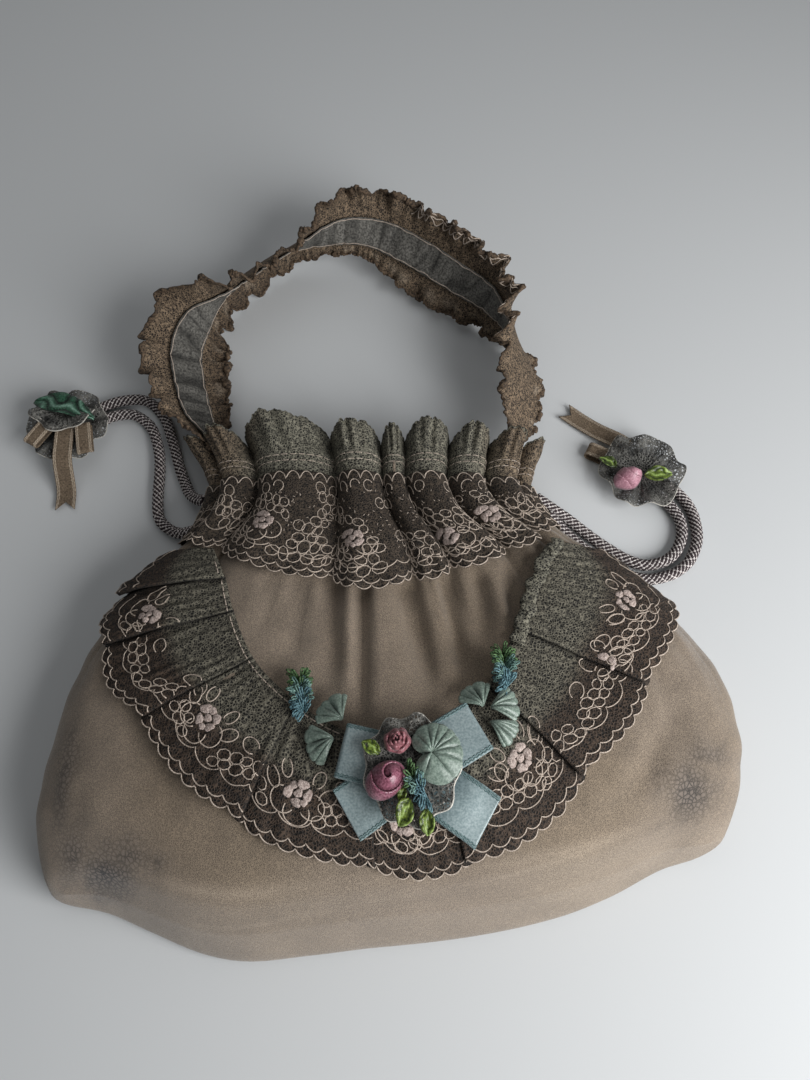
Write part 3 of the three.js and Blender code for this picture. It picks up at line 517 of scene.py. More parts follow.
def node(tree, kind, inputs, **settings):
    """Outputs of a new node, whose inputs come from other nodes or are plain values."""
    made = tree.nodes.new("ShaderNode" + kind)
    for name, value in settings.items():
        setattr(made, name, value)
    for name, value in inputs.items():
        if isinstance(value, bpy.types.NodeSocket):
            tree.links.new(value, made.inputs[name])
        else:
            made.inputs[name].default_value = value
    return made.outputs


def noise_node(tree, place, size):
    return node(tree, "TexNoise", {"Vector": place, "Scale": 1 / size, "Detail": NOISE_DETAIL})["Fac"]


def cells_node(tree, place, size):
    """Distance to the edges of uneven cells, as in a net."""
    inputs = {"Vector": place, "Scale": 1 / size}
    return node(tree, "TexVoronoi", inputs, feature="DISTANCE_TO_EDGE")["Distance"]


def spread_node(tree, value, low, high, to_low=0.0, to_high=1.0):
    """Spreads the values from low to high over another range."""
    inputs = {"Value": value, "From Min": low, "From Max": high, "To Min": to_low, "To Max": to_high}
    return node(tree, "MapRange", inputs)["Result"]


def mix_node(tree, share, first, second):
    return node(tree, "Mix", {0: share, 6: first, 7: second}, data_type="RGBA")[2]


def shades_node(tree, share, dark, light):
    return mix_node(tree, share, srgb(*dark), srgb(*light))


def math_node(tree, operation, first, second):
    return node(tree, "Math", {0: first, 1: second}, operation=operation)[0]


# Parts of the noises and nets that go from dark to light, and the change of shade over larger patches
GRAIN_PART = (0.32, 0.68)
NET_GRAIN_PART = (0.25, 0.62)
INNER_NET_PART = (0.04, 0.22)
PATCH_PART = (0.25, 0.75)
PATCH_SHADES = (0.86, 1.12)
RELIEF_STRENGTH = 0.7
NOISE_DETAIL = 2.0


def cloth_material(name, dark, light, grain=0.0007, patch=0.02, roughness=0.85, sheen=0.0, bump=0.0002,
                   net=None, thread=(0.30, 0.04), holes=1.0, paints=()):
    """Cloth in two shades, mixed by a fine grain and by larger patches.

    net is the size of the holes of a net, thread how far its threads fade into them, and holes how much of
    them is filled where the mesh isn't painted red. paints gives the pairs of shades that take over where
    the mesh is painted red, green or blue, and the size of their net where it is another one.
    """
    material = bpy.data.materials.new(name)
    material.use_nodes = True
    tree = material.node_tree
    shader = tree.nodes["Principled BSDF"]
    shader.inputs["Roughness"].default_value = roughness
    shader.inputs["Sheen Weight"].default_value = sheen
    place = node(tree, "TexCoord", {})["Object"]
    paint = node(tree, "Attribute", {}, attribute_name="paint")["Color"]
    painted_shares = node(tree, "SeparateColor", {"Color": paint})
    fine = noise_node(tree, place, grain)
    height = fine
    share = spread_node(tree, fine, *GRAIN_PART)
    if net:
        height = spread_node(tree, cells_node(tree, place, net), *thread)
        share = math_node(tree, "MULTIPLY", height, spread_node(tree, fine, *NET_GRAIN_PART))
        if holes < 1:
            cover = spread_node(tree, height, 0, 1, holes, 1)
            cover = math_node(tree, "MAXIMUM", cover, painted_shares[0])
            tree.links.new(cover, shader.inputs["Alpha"])
    colour = shades_node(tree, share, dark, light)
    for channel, (second_dark, second_light, *own_net) in enumerate(paints):
        second_share = share
        if own_net:
            second_share = spread_node(tree, cells_node(tree, place, own_net[0]), *INNER_NET_PART)
        second = shades_node(tree, second_share, second_dark, second_light)
        colour = mix_node(tree, painted_shares[channel], colour, second)
    patches = spread_node(tree, noise_node(tree, place, patch), *PATCH_PART, *PATCH_SHADES)
    colour = node(tree, "HueSaturation", {"Value": patches, "Color": colour})["Color"]
    tree.links.new(colour, shader.inputs["Base Color"])
    relief = {"Strength": RELIEF_STRENGTH, "Distance": bump, "Height": height}
    tree.links.new(node(tree, "Bump", relief)["Normal"], shader.inputs["Normal"])
    return material


# Dark and light shades as a display shows them, then the pairs that paint brings
ORGANZA = cloth_material(
    "organza", (0.41, 0.36, 0.305), (0.585, 0.52, 0.44), grain=0.0005, sheen=0.3, net=0.0006, bump=0.0001,
    paints=(((0.10, 0.095, 0.10), (0.44, 0.40, 0.37), 0.0017),
            # The pale pair: pale streaks of the base, and painted light on its panel
            ((0.54, 0.485, 0.42), (0.70, 0.635, 0.56)),
            ((0.45, 0.40, 0.355), (0.62, 0.56, 0.49))))
LACE = {"grain": 0.0012, "net": 0.0010, "bump": 0.0004}
HEADING_LACE = cloth_material(
    "heading_lace", (0.07, 0.068, 0.062), (0.58, 0.565, 0.50), **LACE,
    paints=(((0.09, 0.07, 0.06), (0.56, 0.49, 0.405)),))
BROWN_LACE = cloth_material(
    "brown_lace", (0.06, 0.056, 0.052), (0.52, 0.50, 0.44), **LACE,
    # The brown of the outer lace, then painted shade beside the swag's lapping folds
    paints=(((0.045, 0.036, 0.032), (0.33, 0.27, 0.222)), ((0.035, 0.03, 0.03), (0.11, 0.10, 0.09))))
HANDLE_LACE = cloth_material(
    "handle_lace", (0.11, 0.085, 0.065), (0.57, 0.49, 0.40), **LACE,
    paints=(((0.42, 0.37, 0.32), (0.70, 0.64, 0.56)), ((0.09, 0.07, 0.055), (0.36, 0.29, 0.22))))
HANDLE_EDGE = cloth_material("handle_edge", (0.10, 0.075, 0.055), (0.43, 0.355, 0.28), grain=0.0010)
HANDLE_BAND = cloth_material(
    "handle_band", (0.24, 0.232, 0.22), (0.50, 0.49, 0.465), grain=0.0009, patch=0.004,
    # The dark pair: painted shade in the creases and towards the left end, and a darker mottle
    paints=(((0.09, 0.085, 0.08), (0.24, 0.235, 0.22)),))
EMBROIDERY = cloth_material("embroidery", (0.60, 0.54, 0.49), (0.86, 0.80, 0.74), grain=0.0005)
FLOWER_THREAD = cloth_material(
    "flower_thread", (0.58, 0.51, 0.48), (0.84, 0.775, 0.74), patch=0.003, bump=0.0006)
CORD_DARK = cloth_material("cord_dark", (0.13, 0.10, 0.11), (0.27, 0.22, 0.23), grain=0.0005)
CORD_PALE = cloth_material("cord_pale", (0.72, 0.69, 0.68), (0.95, 0.925, 0.91), grain=0.0005)
TULLE = cloth_material(
    "tulle", (0.10, 0.10, 0.098), (0.47, 0.465, 0.445), grain=0.005, net=0.0012, thread=(0.22, 0.06),
    holes=0.06)
TULLE_THREAD = cloth_material("tulle_thread", (0.66, 0.65, 0.62), (0.88, 0.86, 0.82), grain=0.0005)
GLOSS = {"sheen": 0.15, "bump": 0.00003}
SATIN = cloth_material(
    "satin", (0.50, 0.57, 0.58), (0.64, 0.70, 0.705), roughness=0.26, **GLOSS,
    # Painted shade near the roots and bends of the bow's ribbons
    paints=(((0.24, 0.32, 0.345), (0.38, 0.46, 0.48)),))
SELVEDGE = cloth_material("selvedge", (0.27, 0.38, 0.39), (0.50, 0.59, 0.59), grain=0.0005)
ROSE = cloth_material(
    "rose", (0.40, 0.215, 0.24), (0.64, 0.42, 0.445), roughness=0.34, **GLOSS,
    # Dark pair for painted shade in creases; the rolled rose is not painted with it
    paints=(((0.22, 0.08, 0.10), (0.34, 0.15, 0.18)),))
PINK = cloth_material(
    "pink", (0.62, 0.42, 0.48), (0.80, 0.61, 0.66), roughness=0.34, **GLOSS,
    # Painted shade in the grooves between the wraps of a bud
    paints=(((0.30, 0.15, 0.19), (0.44, 0.26, 0.31)),))
MAUVE = cloth_material(
    "mauve", (0.40, 0.20, 0.265), (0.63, 0.40, 0.47), roughness=0.24, **GLOSS,
    # Painted shade in the grooves between the wraps of a bud
    paints=(((0.15, 0.05, 0.08), (0.26, 0.11, 0.15)),))
SAGE = cloth_material(
    "sage", (0.40, 0.47, 0.43), (0.61, 0.675, 0.625), roughness=0.28, sheen=0.15, bump=0.00004,
    # Painted shade in the creases of the gathered satin
    paints=(((0.12, 0.17, 0.155), (0.25, 0.31, 0.285)),))
LEAF = cloth_material(
    "leaf", (0.21, 0.28, 0.06), (0.48, 0.56, 0.20), roughness=0.32, sheen=0.1, patch=0.003, bump=0.00004,
    # Painted shade in the folds, then painted highlights on the ridges
    paints=(((0.10, 0.16, 0.03), (0.20, 0.27, 0.06)), ((0.55, 0.67, 0.32), (0.71, 0.80, 0.48))))
DARK_LEAF = cloth_material(
    "dark_leaf", (0.05, 0.16, 0.11), (0.24, 0.41, 0.32), roughness=0.24, sheen=0.1, patch=0.006, bump=0.00004,
    # Painted shade in the folds, then painted highlights on the ridges
    paints=(((0.02, 0.06, 0.045), (0.06, 0.14, 0.10)), ((0.34, 0.52, 0.44), (0.56, 0.72, 0.64))))
LOOP_GREEN = cloth_material("loop_green", (0.10, 0.22, 0.11), (0.46, 0.60, 0.40), grain=0.0008)
LOOP_TEAL = cloth_material("loop_teal", (0.12, 0.26, 0.25), (0.56, 0.70, 0.66), grain=0.0008)
LOOP_BLUE = cloth_material("loop_blue", (0.12, 0.26, 0.31), (0.50, 0.65, 0.68), grain=0.0008)
GROSGRAIN_EDGE = cloth_material("grosgrain_edge", (0.52, 0.46, 0.395), (0.80, 0.74, 0.66), grain=0.0005)
GROSGRAIN = cloth_material("grosgrain", (0.31, 0.26, 0.205), (0.55, 0.48, 0.40), grain=0.0006)


# Threads and pads that are laid on a cloth
THREAD_LIFT = 0.0003
THREAD_FLATNESS = 0.75
PAD_LIFT = 0.0002
PAD_LOOK = 0.001


class Lace:
    """Cloth with its threads. s runs along it and t up from its lower edge, in metres."""

    def __init__(self, grid, closed=False, hidden=None):
        self.grid = grid
        self.normals = grid_normals(grid, closed)
        self.along = lengths_along(grid[:, grid.shape[1] // 2])
        self.length = self.along[-1]
        self.heights = np.linalg.norm(np.diff(grid, axis=1), axis=2).sum(axis=1)
        self.hidden = np.zeros(len(grid), bool) if hidden is None else hidden
        self.heap = Heap()

    def column(self, s):
        return np.interp(s, self.along, np.arange(len(self.along)))

    def height(self, s):
        return np.interp(s, self.along, self.heights)

    def at(self, s, t, lift=0.0):
        """Points above the cloth, and its normals there."""
        s, t = np.broadcast_arrays(np.asarray(s, float), np.asarray(t, float))
        column = np.clip(self.column(s), 0, len(self.along) - 1.001)
        row = np.minimum(t / self.height(s), 1) * (self.grid.shape[1] - 1)
        normals = unit(between(self.normals, column, row))
        return between(self.grid, column, row) + normals * lift, normals

    def nearest(self, x, y):
        """Place on the cloth that lies nearest to a point of the plan, on its front."""
        gap = np.hypot(self.grid[..., 0] - x, self.grid[..., 1] - y) - self.grid[..., 2]
        i, j = np.unravel_index(np.argmin(gap), gap.shape)
        return self.along[i], self.heights[i] * j / (self.grid.shape[1] - 1)

    def thread(self, s, t, radius, slot=0, lift=THREAD_LIFT):
        """Thread along places of the cloth, cut where the cloth is folded out of sight."""
        s, t = np.broadcast_arrays(np.asarray(s, float), np.asarray(t, float))
        seen = ~self.hidden[np.round(self.column(s)).astype(int)]
        for run in np.split(np.arange(len(s)), np.flatnonzero(np.diff(seen)) + 1):
            if seen[run[0]] and len(run) > 2:
                points, normals = self.at(s[run], t[run], lift)
                self.heap.add(*tube(points, normals, radius, radius * THREAD_FLATNESS), slot)

    def pad(self, s, t, turn, half_length, half_width, height, slot):
        """Raised pad at a place of the cloth, left out where the cloth is folded out of sight."""
        if self.hidden[int(round(float(self.column(s))))]:
            return
        centre, normal = self.at(s, t, PAD_LIFT)
        ahead, _ = self.at(s + PAD_LOOK, t, PAD_LIFT)
        along = unit(ahead - centre)
        along = along * math.cos(turn) + np.cross(normal, along) * math.sin(turn)
        across = np.cross(normal, along)
        self.heap.add(*pad(centre, along, across, normal, half_length, half_width, height), slot)


# Sack of organza, with its base panel folded in
BODY_ROWS = 96
BASE_PANEL_ROWS = 14
BASE_FOLD_HEIGHT = 0.022
BASE_FOLD_PROUD = 0.0015
BASE_FOLD_REACH = 0.94
BASE_FREE = (BASE_Y, -0.060)
SEAM_SOFT_ROWS = 10
SEAM_SOFT_TURNS = 10
FRONT_SINE = 0.05
CRINKLE = 0.0005
CRINKLES = 3

# Creases of the drape on the front, from the neck down: ends on the front, depth and half width
CREASES = table("x1 y1 x2 y2 depth width", [
    (-0.0124, 0.050, -0.0108, -0.030, 0.0050, 0.0030), (0.0003, 0.048, 0.0150, -0.008, 0.0048, 0.0044),
    (0.018, 0.050, 0.027, -0.010, 0.0040, 0.0040), (-0.024, 0.050, -0.021, -0.014, 0.0042, 0.0044),
    (-0.036, 0.050, -0.035, 0.000, 0.0040, 0.0044), (0.032, 0.050, 0.034, 0.000, 0.0042, 0.0040),
    (0.043, 0.052, 0.046, 0.016, 0.0026, 0.0030), (-0.047, 0.048, -0.046, 0.014, 0.0024, 0.0034),
    (-0.100, -0.004, -0.060, -0.050, 0.0012, 0.0060), (0.106, 0.000, 0.070, -0.052, 0.0014, 0.0060),
])
CREASE_START = (0, 0.2)
CREASE_END = (1, 0.55)

# Hang of the base: how far its lower edge is pulled along y
BASE_SAG = table("x shift", [
    (-0.130, -0.003), (-0.122, -0.003), (-0.104, 0.0005), (-0.088, -0.0012), (-0.068, -0.0050),
    (-0.052, -0.0056), (-0.030, -0.0024), (-0.005, 0), (0.060, 0), (0.078, 0.0012), (0.098, 0.0034),
    (0.112, 0.0010), (0.130, -0.001),
])

# Net that shows through, pale streaks along the seam of the base and a fold of its panel, painted light on
# the panel, and shades
NET_PATCHES = table("x y reach_x reach_y strength", [
    (-0.115, -0.028, 0.006, 0.028, 0.8), (-0.098, -0.062, 0.017, 0.010, 1.0),
    (-0.110, -0.056, 0.008, 0.013, 0.85), (-0.090, -0.057, 0.012, 0.006, 0.8),
    (0.103, -0.036, 0.012, 0.013, 0.9), (0.110, -0.023, 0.013, 0.005, 0.7),
])
NET_BLOTCH_LEAST = 0.3
SEAM_STREAK = {"strength": 0.7, "rows": 1.3, "ends": (0.11, 0.06)}
FOLD_STREAK = {"strength": 0.6, "rows": 0.9, "left": (-0.085, -0.06), "right": (0.09, 0.05)}
FOLD_LINE = {"x": -0.07, "start": 0.12, "slope": 6.3}
STREAK_SHADE = 0.75
PANEL_FADE = (1.4 * BASE_PANEL_ROWS, 0.6 * BASE_PANEL_ROWS)
# Painted light on the base panel, which faces away from the lamp, stronger towards the right
PANEL_PAINTED_LIGHT = {"middle": 0.45, "slope": 2}
BACK_SHARE = 7 / 16
BACK_STREAK = 0.1
SACK_SHADE = {"middle": 0.5, "most": 0.8}


def crease_depth(x, y):
    """How far the front is drawn in by the creases of its drape."""
    total = np.zeros_like(x)
    for x1, y1, x2, y2, depth, width in rows_of(CREASES):
        share = np.clip((y - y1) / (y2 - y1), 0, 1)
        ends = smoothstep(*CREASE_START, share) * smoothstep(*CREASE_END, share)
        total += depth * ends * bell(x, mix(x1, x2, share), width)
    return total


def body_wall(neck, y):
    x_plain, y_plain, _ = np.moveaxis(neck_point(neck, y, gathers=DRAPE), -1, 0)
    front = np.sin(neck["angle"]) > FRONT_SINE
    drawn = np.where(front, crease_depth(x_plain, y_plain), 0)
    slack = ripple("sack_slack", x_plain, y_plain) + ripple("sack_crumple", x_plain, y_plain)
    wave = np.sin(CRINKLES * TURN * neck["share"] + neck["place"]) * np.sin(np.pi * neck["share"])
    lift = slack * front * smoothstep(*BASE_FREE, y) + CRINKLE * wave * smoothstep(*DRAPE, y) - drawn
    return neck_point(neck, y, lift, DRAPE)


def base_panel(neck):
    """Rows from the fold in the middle of the base out to its seam."""
    seam = neck_point(neck, np.full((1, 1), BASE_Y))
    section = section_at(BASE_Y)
    x = section["middle"] + (seam[..., 0] - section["middle"]) * BASE_FOLD_REACH
    z = mix(section["waist"], BASE_FOLD_HEIGHT, 1 - ((x - section["middle"]) / section["half"]) ** 2)
    fold = np.stack([x, BASE_Y + carried(section, x, z) - BASE_FOLD_PROUD, z], axis=-1)
    return mix(fold, seam, np.linspace(0, 1, BASE_PANEL_ROWS, endpoint=False)[None, :, None])


def soften_seam(grid):
    """Rounds the cloth off on both sides of the seam of the base."""
    first, last = BASE_PANEL_ROWS - SEAM_SOFT_ROWS, BASE_PANEL_ROWS + SEAM_SOFT_ROWS
    for _ in range(SEAM_SOFT_TURNS):
        even = (grid[:, :-2] + 2 * grid[:, 1:-1] + grid[:, 2:]) / 4
        grid[:, first:last] = even[:, first - 1:last - 1]


def body_paint(grid):
    """Red where the net shows through, green on pale streaks and on painted light of the base panel, blue for
    a slow change of shade.
    """
    x, y = grid[..., 0], grid[..., 1]
    blotch = np.maximum(1 + ripple("net_blotch", x, y) + ripple("net_fleck", x, y), NET_BLOTCH_LEAST)
    net = np.zeros_like(x)
    for at_x, at_y, reach_x, reach_y, strength in rows_of(NET_PATCHES):
        off = ((x - at_x) / reach_x) ** 2 + ((y - at_y) / reach_y) ** 2
        net = np.maximum(net, strength * np.exp(-off * blotch))
    rows = np.arange(grid.shape[1])[None, :]
    seam = bell(rows, BASE_PANEL_ROWS + 1, SEAM_STREAK["rows"]) * smoothstep(*SEAM_STREAK["ends"], np.abs(x))
    fold_row = BASE_PANEL_ROWS * np.clip(FOLD_LINE["start"] + FOLD_LINE["slope"] * (x - FOLD_LINE["x"]), 0, 1)
    fold = bell(rows, fold_row, FOLD_STREAK["rows"])
    fold = fold * smoothstep(*FOLD_STREAK["left"], x) * smoothstep(*FOLD_STREAK["right"], x)
    streaks = SEAM_STREAK["strength"] * seam + FOLD_STREAK["strength"] * fold
    streaks = streaks * (STREAK_SHADE + ripple("base_streak", x, y))
    back = (np.arange(grid.shape[0]) < grid.shape[0] * BACK_SHARE)[:, None]
    # Painted light on the base panel, stronger towards the right
    panel = smoothstep(*PANEL_FADE, rows) * (PANEL_PAINTED_LIGHT["middle"] + PANEL_PAINTED_LIGHT["slope"] * x)
    pale = np.clip(np.where(back, BACK_STREAK, streaks) + panel, 0, 1)
    shade = np.clip(SACK_SHADE["middle"] + ripple("sack_shade", x, y), 0, SACK_SHADE["most"])
    return painted(grid, net, pale * (1 - net), shade * (1 - net))


def pouch_body():
    neck = neck_columns(BODY_FOLD_STEPS)
    columns = len(neck["angle"])
    wall_y = np.linspace(BASE_Y, CASING_HIGH_Y, BODY_ROWS)[None, :]
    grid = np.concatenate([base_panel(neck), body_wall(neck, wall_y)], axis=1)
    sag = np.concatenate([np.ones((1, BASE_PANEL_ROWS)), 1 - smoothstep(*BASE_FREE, wall_y)], axis=1)
    grid[..., 1] += sag * column_at(BASE_SAG, "shift", grid[..., 0])
    soften_seam(grid)
    partner = (columns - BODY_FOLD_STEPS - np.arange(columns)) % columns
    paint = body_paint(grid)
    piece = sheet("pouch_body", grid, ORGANZA_WALL, ORGANZA, True, paint, partner, sunk=1)


# Lace heading above the drawstring
HEADING_LOW_Y = 0.0895
HEADING_FREE = (0.098, 0.106)
HEADING_NOTCH = 0.006
HEADING_ROWS = 19
HEADING_GROOVE = 0.0058
HEADING_GROOVE_POWER = 1.5
HEADING_CRIMP = 0.0008
HEADING_CRIMPS = 4
HEADING_CRIMP_SHIFT = 1.7
HEADING_BROWN = ((-0.052, -0.075), (0.03, 0.05))
HEADING_EDGE = {"points": 1400, "drop": 0.0004, "pitch": 0.0021, "radius": 0.00035}
HEADING_STITCHES = {"y": (0.0965, 0.0995), "start": 0.16, "radius": 0.00016}
STITCH = 0.0034
STITCH_GAP = 0.0008
STITCH_POINTS = 5


def stitch_line(lace, s_from, s_to, t_at, radius):
    """Running stitches along a cloth; t_at gives their place up from its lower edge."""
    for s in np.arange(s_from, s_to, STITCH + STITCH_GAP):
        along = np.linspace(s, s + STITCH, STITCH_POINTS)
        lace.thread(along, t_at(along), radius)


def neck_heading():
    neck = neck_columns(LACE_FOLD_STEPS)
    along = neck["place"] * FOLD_PITCH
    rise = neck["crest"] - HEADING_NOTCH * (1 - neck["pipe"]) + ripple("heading_fuzz", along, 0)
    y = mix(HEADING_LOW_Y, rise, np.linspace(0, 1, HEADING_ROWS)[None, :])
    groove = HEADING_GROOVE * (1 - neck["pipe"]) ** HEADING_GROOVE_POWER
    wave = np.sin(HEADING_CRIMPS * TURN * neck["share"] + HEADING_CRIMP_SHIFT * neck["place"])
    crimp = HEADING_CRIMP * wave * neck["pipe"] + ripple("heading_crimp", along, y)
    grid = neck_point(neck, y, LAYER_GAP + LACE_ROOM / 2 + (crimp - groove) * smoothstep(*HEADING_FREE, y))
    brown = np.maximum(*(smoothstep(*part, grid[..., 0]) for part in HEADING_BROWN))
    piece = sheet("neck_heading", grid, LACE_WALL, HEADING_LACE, True, painted(grid, brown))
    lace = Lace(grid, True)
    s = np.linspace(0, lace.length, HEADING_EDGE["points"])
    drop = HEADING_EDGE["drop"] * (1 - np.sin(s * TURN / HEADING_EDGE["pitch"]))
    lace.thread(s, lace.height(s) - drop, HEADING_EDGE["radius"], 1)
    for y_line in HEADING_STITCHES["y"]:
        up = y_line - HEADING_LOW_Y
        stitch_line(lace, HEADING_STITCHES["start"], lace.length, lambda s: up, HEADING_STITCHES["radius"])
    threads = lace.heap.make("neck_heading_threads", "heading_lace", [EMBROIDERY, HEADING_LACE])


# Embroidered lace: scalloped edge, flowers of pads, petals and cells
SCALLOP = 0.0050
SCALLOP_DEPTH = 0.0020
SCALLOP_POINTS = 14
SCALLOP_ROWS = ((0.0002, 0.0), (0.0026, 0.5))
SCALLOP_FADE = (1, 0.66, 0.33)
CRESCENT_ROUNDNESS = 0.55
BOW = 0.0100
BOW_DEPTH = 0.0030
BOW_UP = 0.0092
BOW_SHIFT = 0.2
OUTLINE = 0.00025
FINE_OUTLINE = 0.9 * OUTLINE
OVAL_OUTLINE = 0.85 * OUTLINE
FLECK_OUTLINE = 0.6 * OUTLINE
BLOSSOM = table("s t long wide turn", [
    (-0.0030, 0.0016, 0.0023, 0.0017, 0.9), (-0.0008, 0.0029, 0.0018, 0.0014, 0.2),
    (0.0026, 0.0022, 0.0022, 0.0016, -0.6), (-0.0016, -0.0022, 0.0021, 0.0015, -0.7),
    (0.0028, -0.0014, 0.0021, 0.0015, 0.8), (0.0008, -0.0030, 0.0014, 0.0012, 0.0),
    (0.0001, 0.0002, 0.0016, 0.0014, 0.0),
])
BLOSSOM_TURN = 0.6
PAD_HEIGHT = 0.0005
CLOUD = (-2.5, -1.5, -0.5)
CLOUD_REACH = 0.0056
CLOUD_RADIUS = 0.0040
CLOUD_OPENING = 2.0
SIDE_PETALS = table("s t half_s half_t turn", [
    (0.0098, 0.0012, 0.0034, 0.0022, 0.7), (0.0062, 0.0062, 0.0030, 0.0020, 1.1)])
SIDE_PETAL_OPENING = 2.7
LOOSE_PETALS = table("s t half_s half_t", [
    (-0.006, 0.0105, 0.0034, 0.0024), (0.005, 0.0115, 0.0030, 0.0022)])
LOOSE_PETAL_OPENING = 2.6
LOOSE_PETAL_TURN = 3
MOTIF_PITCH = 0.034
CELLS = 8
CELL_PITCH = (0.0039, 0.0034)
CELL_HALF = (0.0022, 0.0019)
CELL_BOW = 12
CELL_POINTS = 9
CELL_SHIFT = 0.0004
CELL_SIZES = (0.85, 1.1)
CELL_TURN = 0.5
CELL_RISE = (0.001, 0.003)


def crescents(s, width, shift=0.0):
    """Row of hanging crescents: 0 where two of them meet and 1 at their lowest places."""
    return np.abs(np.sin(np.pi * (s / width + shift))) ** CRESCENT_ROUNDNESS


def scallop_edge(grid):
    """Draws the lower edge of a lace out into scallops."""
    along = lengths_along(grid[:, grid.shape[1] // 2])
    down = unit(grid[:, 0] - grid[:, 2])
    for row, share in enumerate(SCALLOP_FADE):
        grid[:, row] += down * (SCALLOP_DEPTH * crescents(along, SCALLOP) * share)[:, None]


def edge_threads(lace):
    s = np.linspace(0, lace.length, int(lace.length / SCALLOP * SCALLOP_POINTS))
    for up, shift in SCALLOP_ROWS:
        lace.thread(s, up - SCALLOP_DEPTH * crescents(s, SCALLOP, shift), OUTLINE)
    lace.thread(s, BOW_UP - BOW_DEPTH * crescents(s, BOW, BOW_SHIFT), FINE_OUTLINE)


def ring(lace, s, t, half_s, half_t, turn, radius, start=0.0, end=TURN, points=18):
    angle = np.linspace(start, end, points)
    x, y = rotated(half_s * np.cos(angle), half_t * np.sin(angle), turn)
    lace.thread(s + x, t + y, radius)


def petal(lace, s, t, half_s, half_t, turn, opening):
    """Outline of a petal, left open at one end."""
    ring(lace, s, t, half_s, half_t, turn, OUTLINE, -opening, opening)


def blossom(lace, s, t, turn):
    """Flower of raised pads, with outlined petals towards the edge of the lace."""
    for x, y, long, wide, pad_turn in rows_of(BLOSSOM):
        x, y = rotated(x, y, turn)
        lace.pad(s + x, t + y, pad_turn + turn, long, wide, PAD_HEIGHT, 1)
    for direction in CLOUD:
        x, y = rotated(CLOUD_REACH, 0, direction)
        petal(lace, s + x, t + y, CLOUD_RADIUS, CLOUD_RADIUS, direction, CLOUD_OPENING)


def honeycomb(lace, s, t, random):
    """Two rows of small cells on a bow."""
    for row in range(2):
        for column in range(CELLS - row):
            x = (column - (CELLS - 1) / 2 + 0.5 * row) * CELL_PITCH[0]
            y = row * CELL_PITCH[1] - CELL_BOW * x * x
            shift = random.uniform(-CELL_SHIFT, CELL_SHIFT, 2)
            half = np.array(CELL_HALF) * random.uniform(*CELL_SIZES)
            turn = random.uniform(-CELL_TURN, CELL_TURN)
            ring(lace, s + x + shift[0], t + y + shift[1], *half, turn, FINE_OUTLINE, points=CELL_POINTS)


def embroider(lace, flowers, random, low_t, high_t):
    """Flowers at their places on the plan, with cells and petals between them."""
    places = []
    for x, y in flowers:
        s, t = lace.nearest(x, y)
        places.append((s, min(max(t, low_t), high_t)))
    places.sort()
    for s, t in places:
        blossom(lace, s, t, random.uniform(-BLOSSOM_TURN, BLOSSOM_TURN))
        for side in (-1, 1):
            for x, y, half_s, half_t, turn in rows_of(SIDE_PETALS):
                petal(lace, s + side * x, t + y, half_s, half_t, side * turn, SIDE_PETAL_OPENING)
    for (first, _), (second, _) in zip(places[:-1], places[1:]):
        count = max(int(round((second - first) / MOTIF_PITCH)), 1)
        for step in range(count):
            middle = mix(first, second, (step + 0.5) / count)
            honeycomb(lace, middle, low_t + random.uniform(*CELL_RISE), random)
            for x, y, half_s, half_t in rows_of(LOOSE_PETALS):
                turn = random.uniform(0, LOOSE_PETAL_TURN)
                petal(lace, middle + x, low_t + y, half_s, half_t, turn, LOOSE_PETAL_OPENING)


# Lace frill below the drawstring
FRILL_LOW_Y = 0.0365
FRILL_SIDE_RISE = 0.034
FRILL_CENTRE = -0.08
FRILL_CURVE = 1.35
FRILL_BACK_Y = 0.068
FRILL_FLARE = 0.0016
FRILL_TOP_Y = 0.0905
FRILL_ROWS = 26
FRILL_NOTCH = 0.0050
FRILL_PUFF = 0.0014
FRILL_WAVE = 0.0010
FRILL_WAVE_LEAST = -0.0003
FRILL_HIDDEN_SINE = -0.2
FRILL_BROWN = 0.85
FRILL_SEED = 11
NECK_FLOWERS = ((-0.0526, 0.0659), (-0.0164, 0.0569), (0.0202, 0.0586), (0.0366, 0.0698))
ARCH = 0.0064
ARCH_HEIGHT = 0.0050
ARCH_DROP = 0.0003
ARCH_POINTS = 14
ARCH_PETAL = {"share": 0.6, "drop": 0.0030, "half": (0.0023, 0.0030), "points": 12}
# Least and most of the turn, start and end of such a petal
ARCH_PETAL_ANGLES = ((-0.5, -1.5, 3.5), (0.5, 0.5, 5.5))
OVAL_PITCH = (0.0039, 0.0044)
OVAL_HALVES = ((0.0015, 0.0017), (0.0025, 0.0032))
OVAL_LOW = 0.0062
OVAL_HIGH = 0.050
OVAL_POINTS = 9
OVAL_SHIFT = 0.0007
OVAL_TURN = 0.6
OVAL_SPARSE = 0.5
OVAL_THINNING = 22
OVAL_TOP_ROOM = 0.012
FLOWER_ROOM = 0.0048
FLECKS = 900
FLECK_HALF = 0.0005
FLECK_POINTS = 3
FLECK_LOW = 0.012
FLECK_ROOM = 0.001
FLECK_TOP_ROOM = 0.010


def arches(lace, random):
    """Arches along the top of the frill, with petals below many of them."""
    s = np.linspace(0, lace.length, int(lace.length / ARCH * ARCH_POINTS))
    lace.thread(s, lace.height(s) - ARCH_DROP - ARCH_HEIGHT * (1 - crescents(s, ARCH)), OUTLINE)
    for place in np.arange(ARCH / 2, lace.length, ARCH):
        if random.uniform() < ARCH_PETAL["share"]:
            t = lace.height(place) - ARCH_HEIGHT - ARCH_PETAL["drop"]
            turn, start, end = random.uniform(*ARCH_PETAL_ANGLES)
            ring(lace, place, t, *ARCH_PETAL["half"], turn, OVAL_OUTLINE, start, end, ARCH_PETAL["points"])


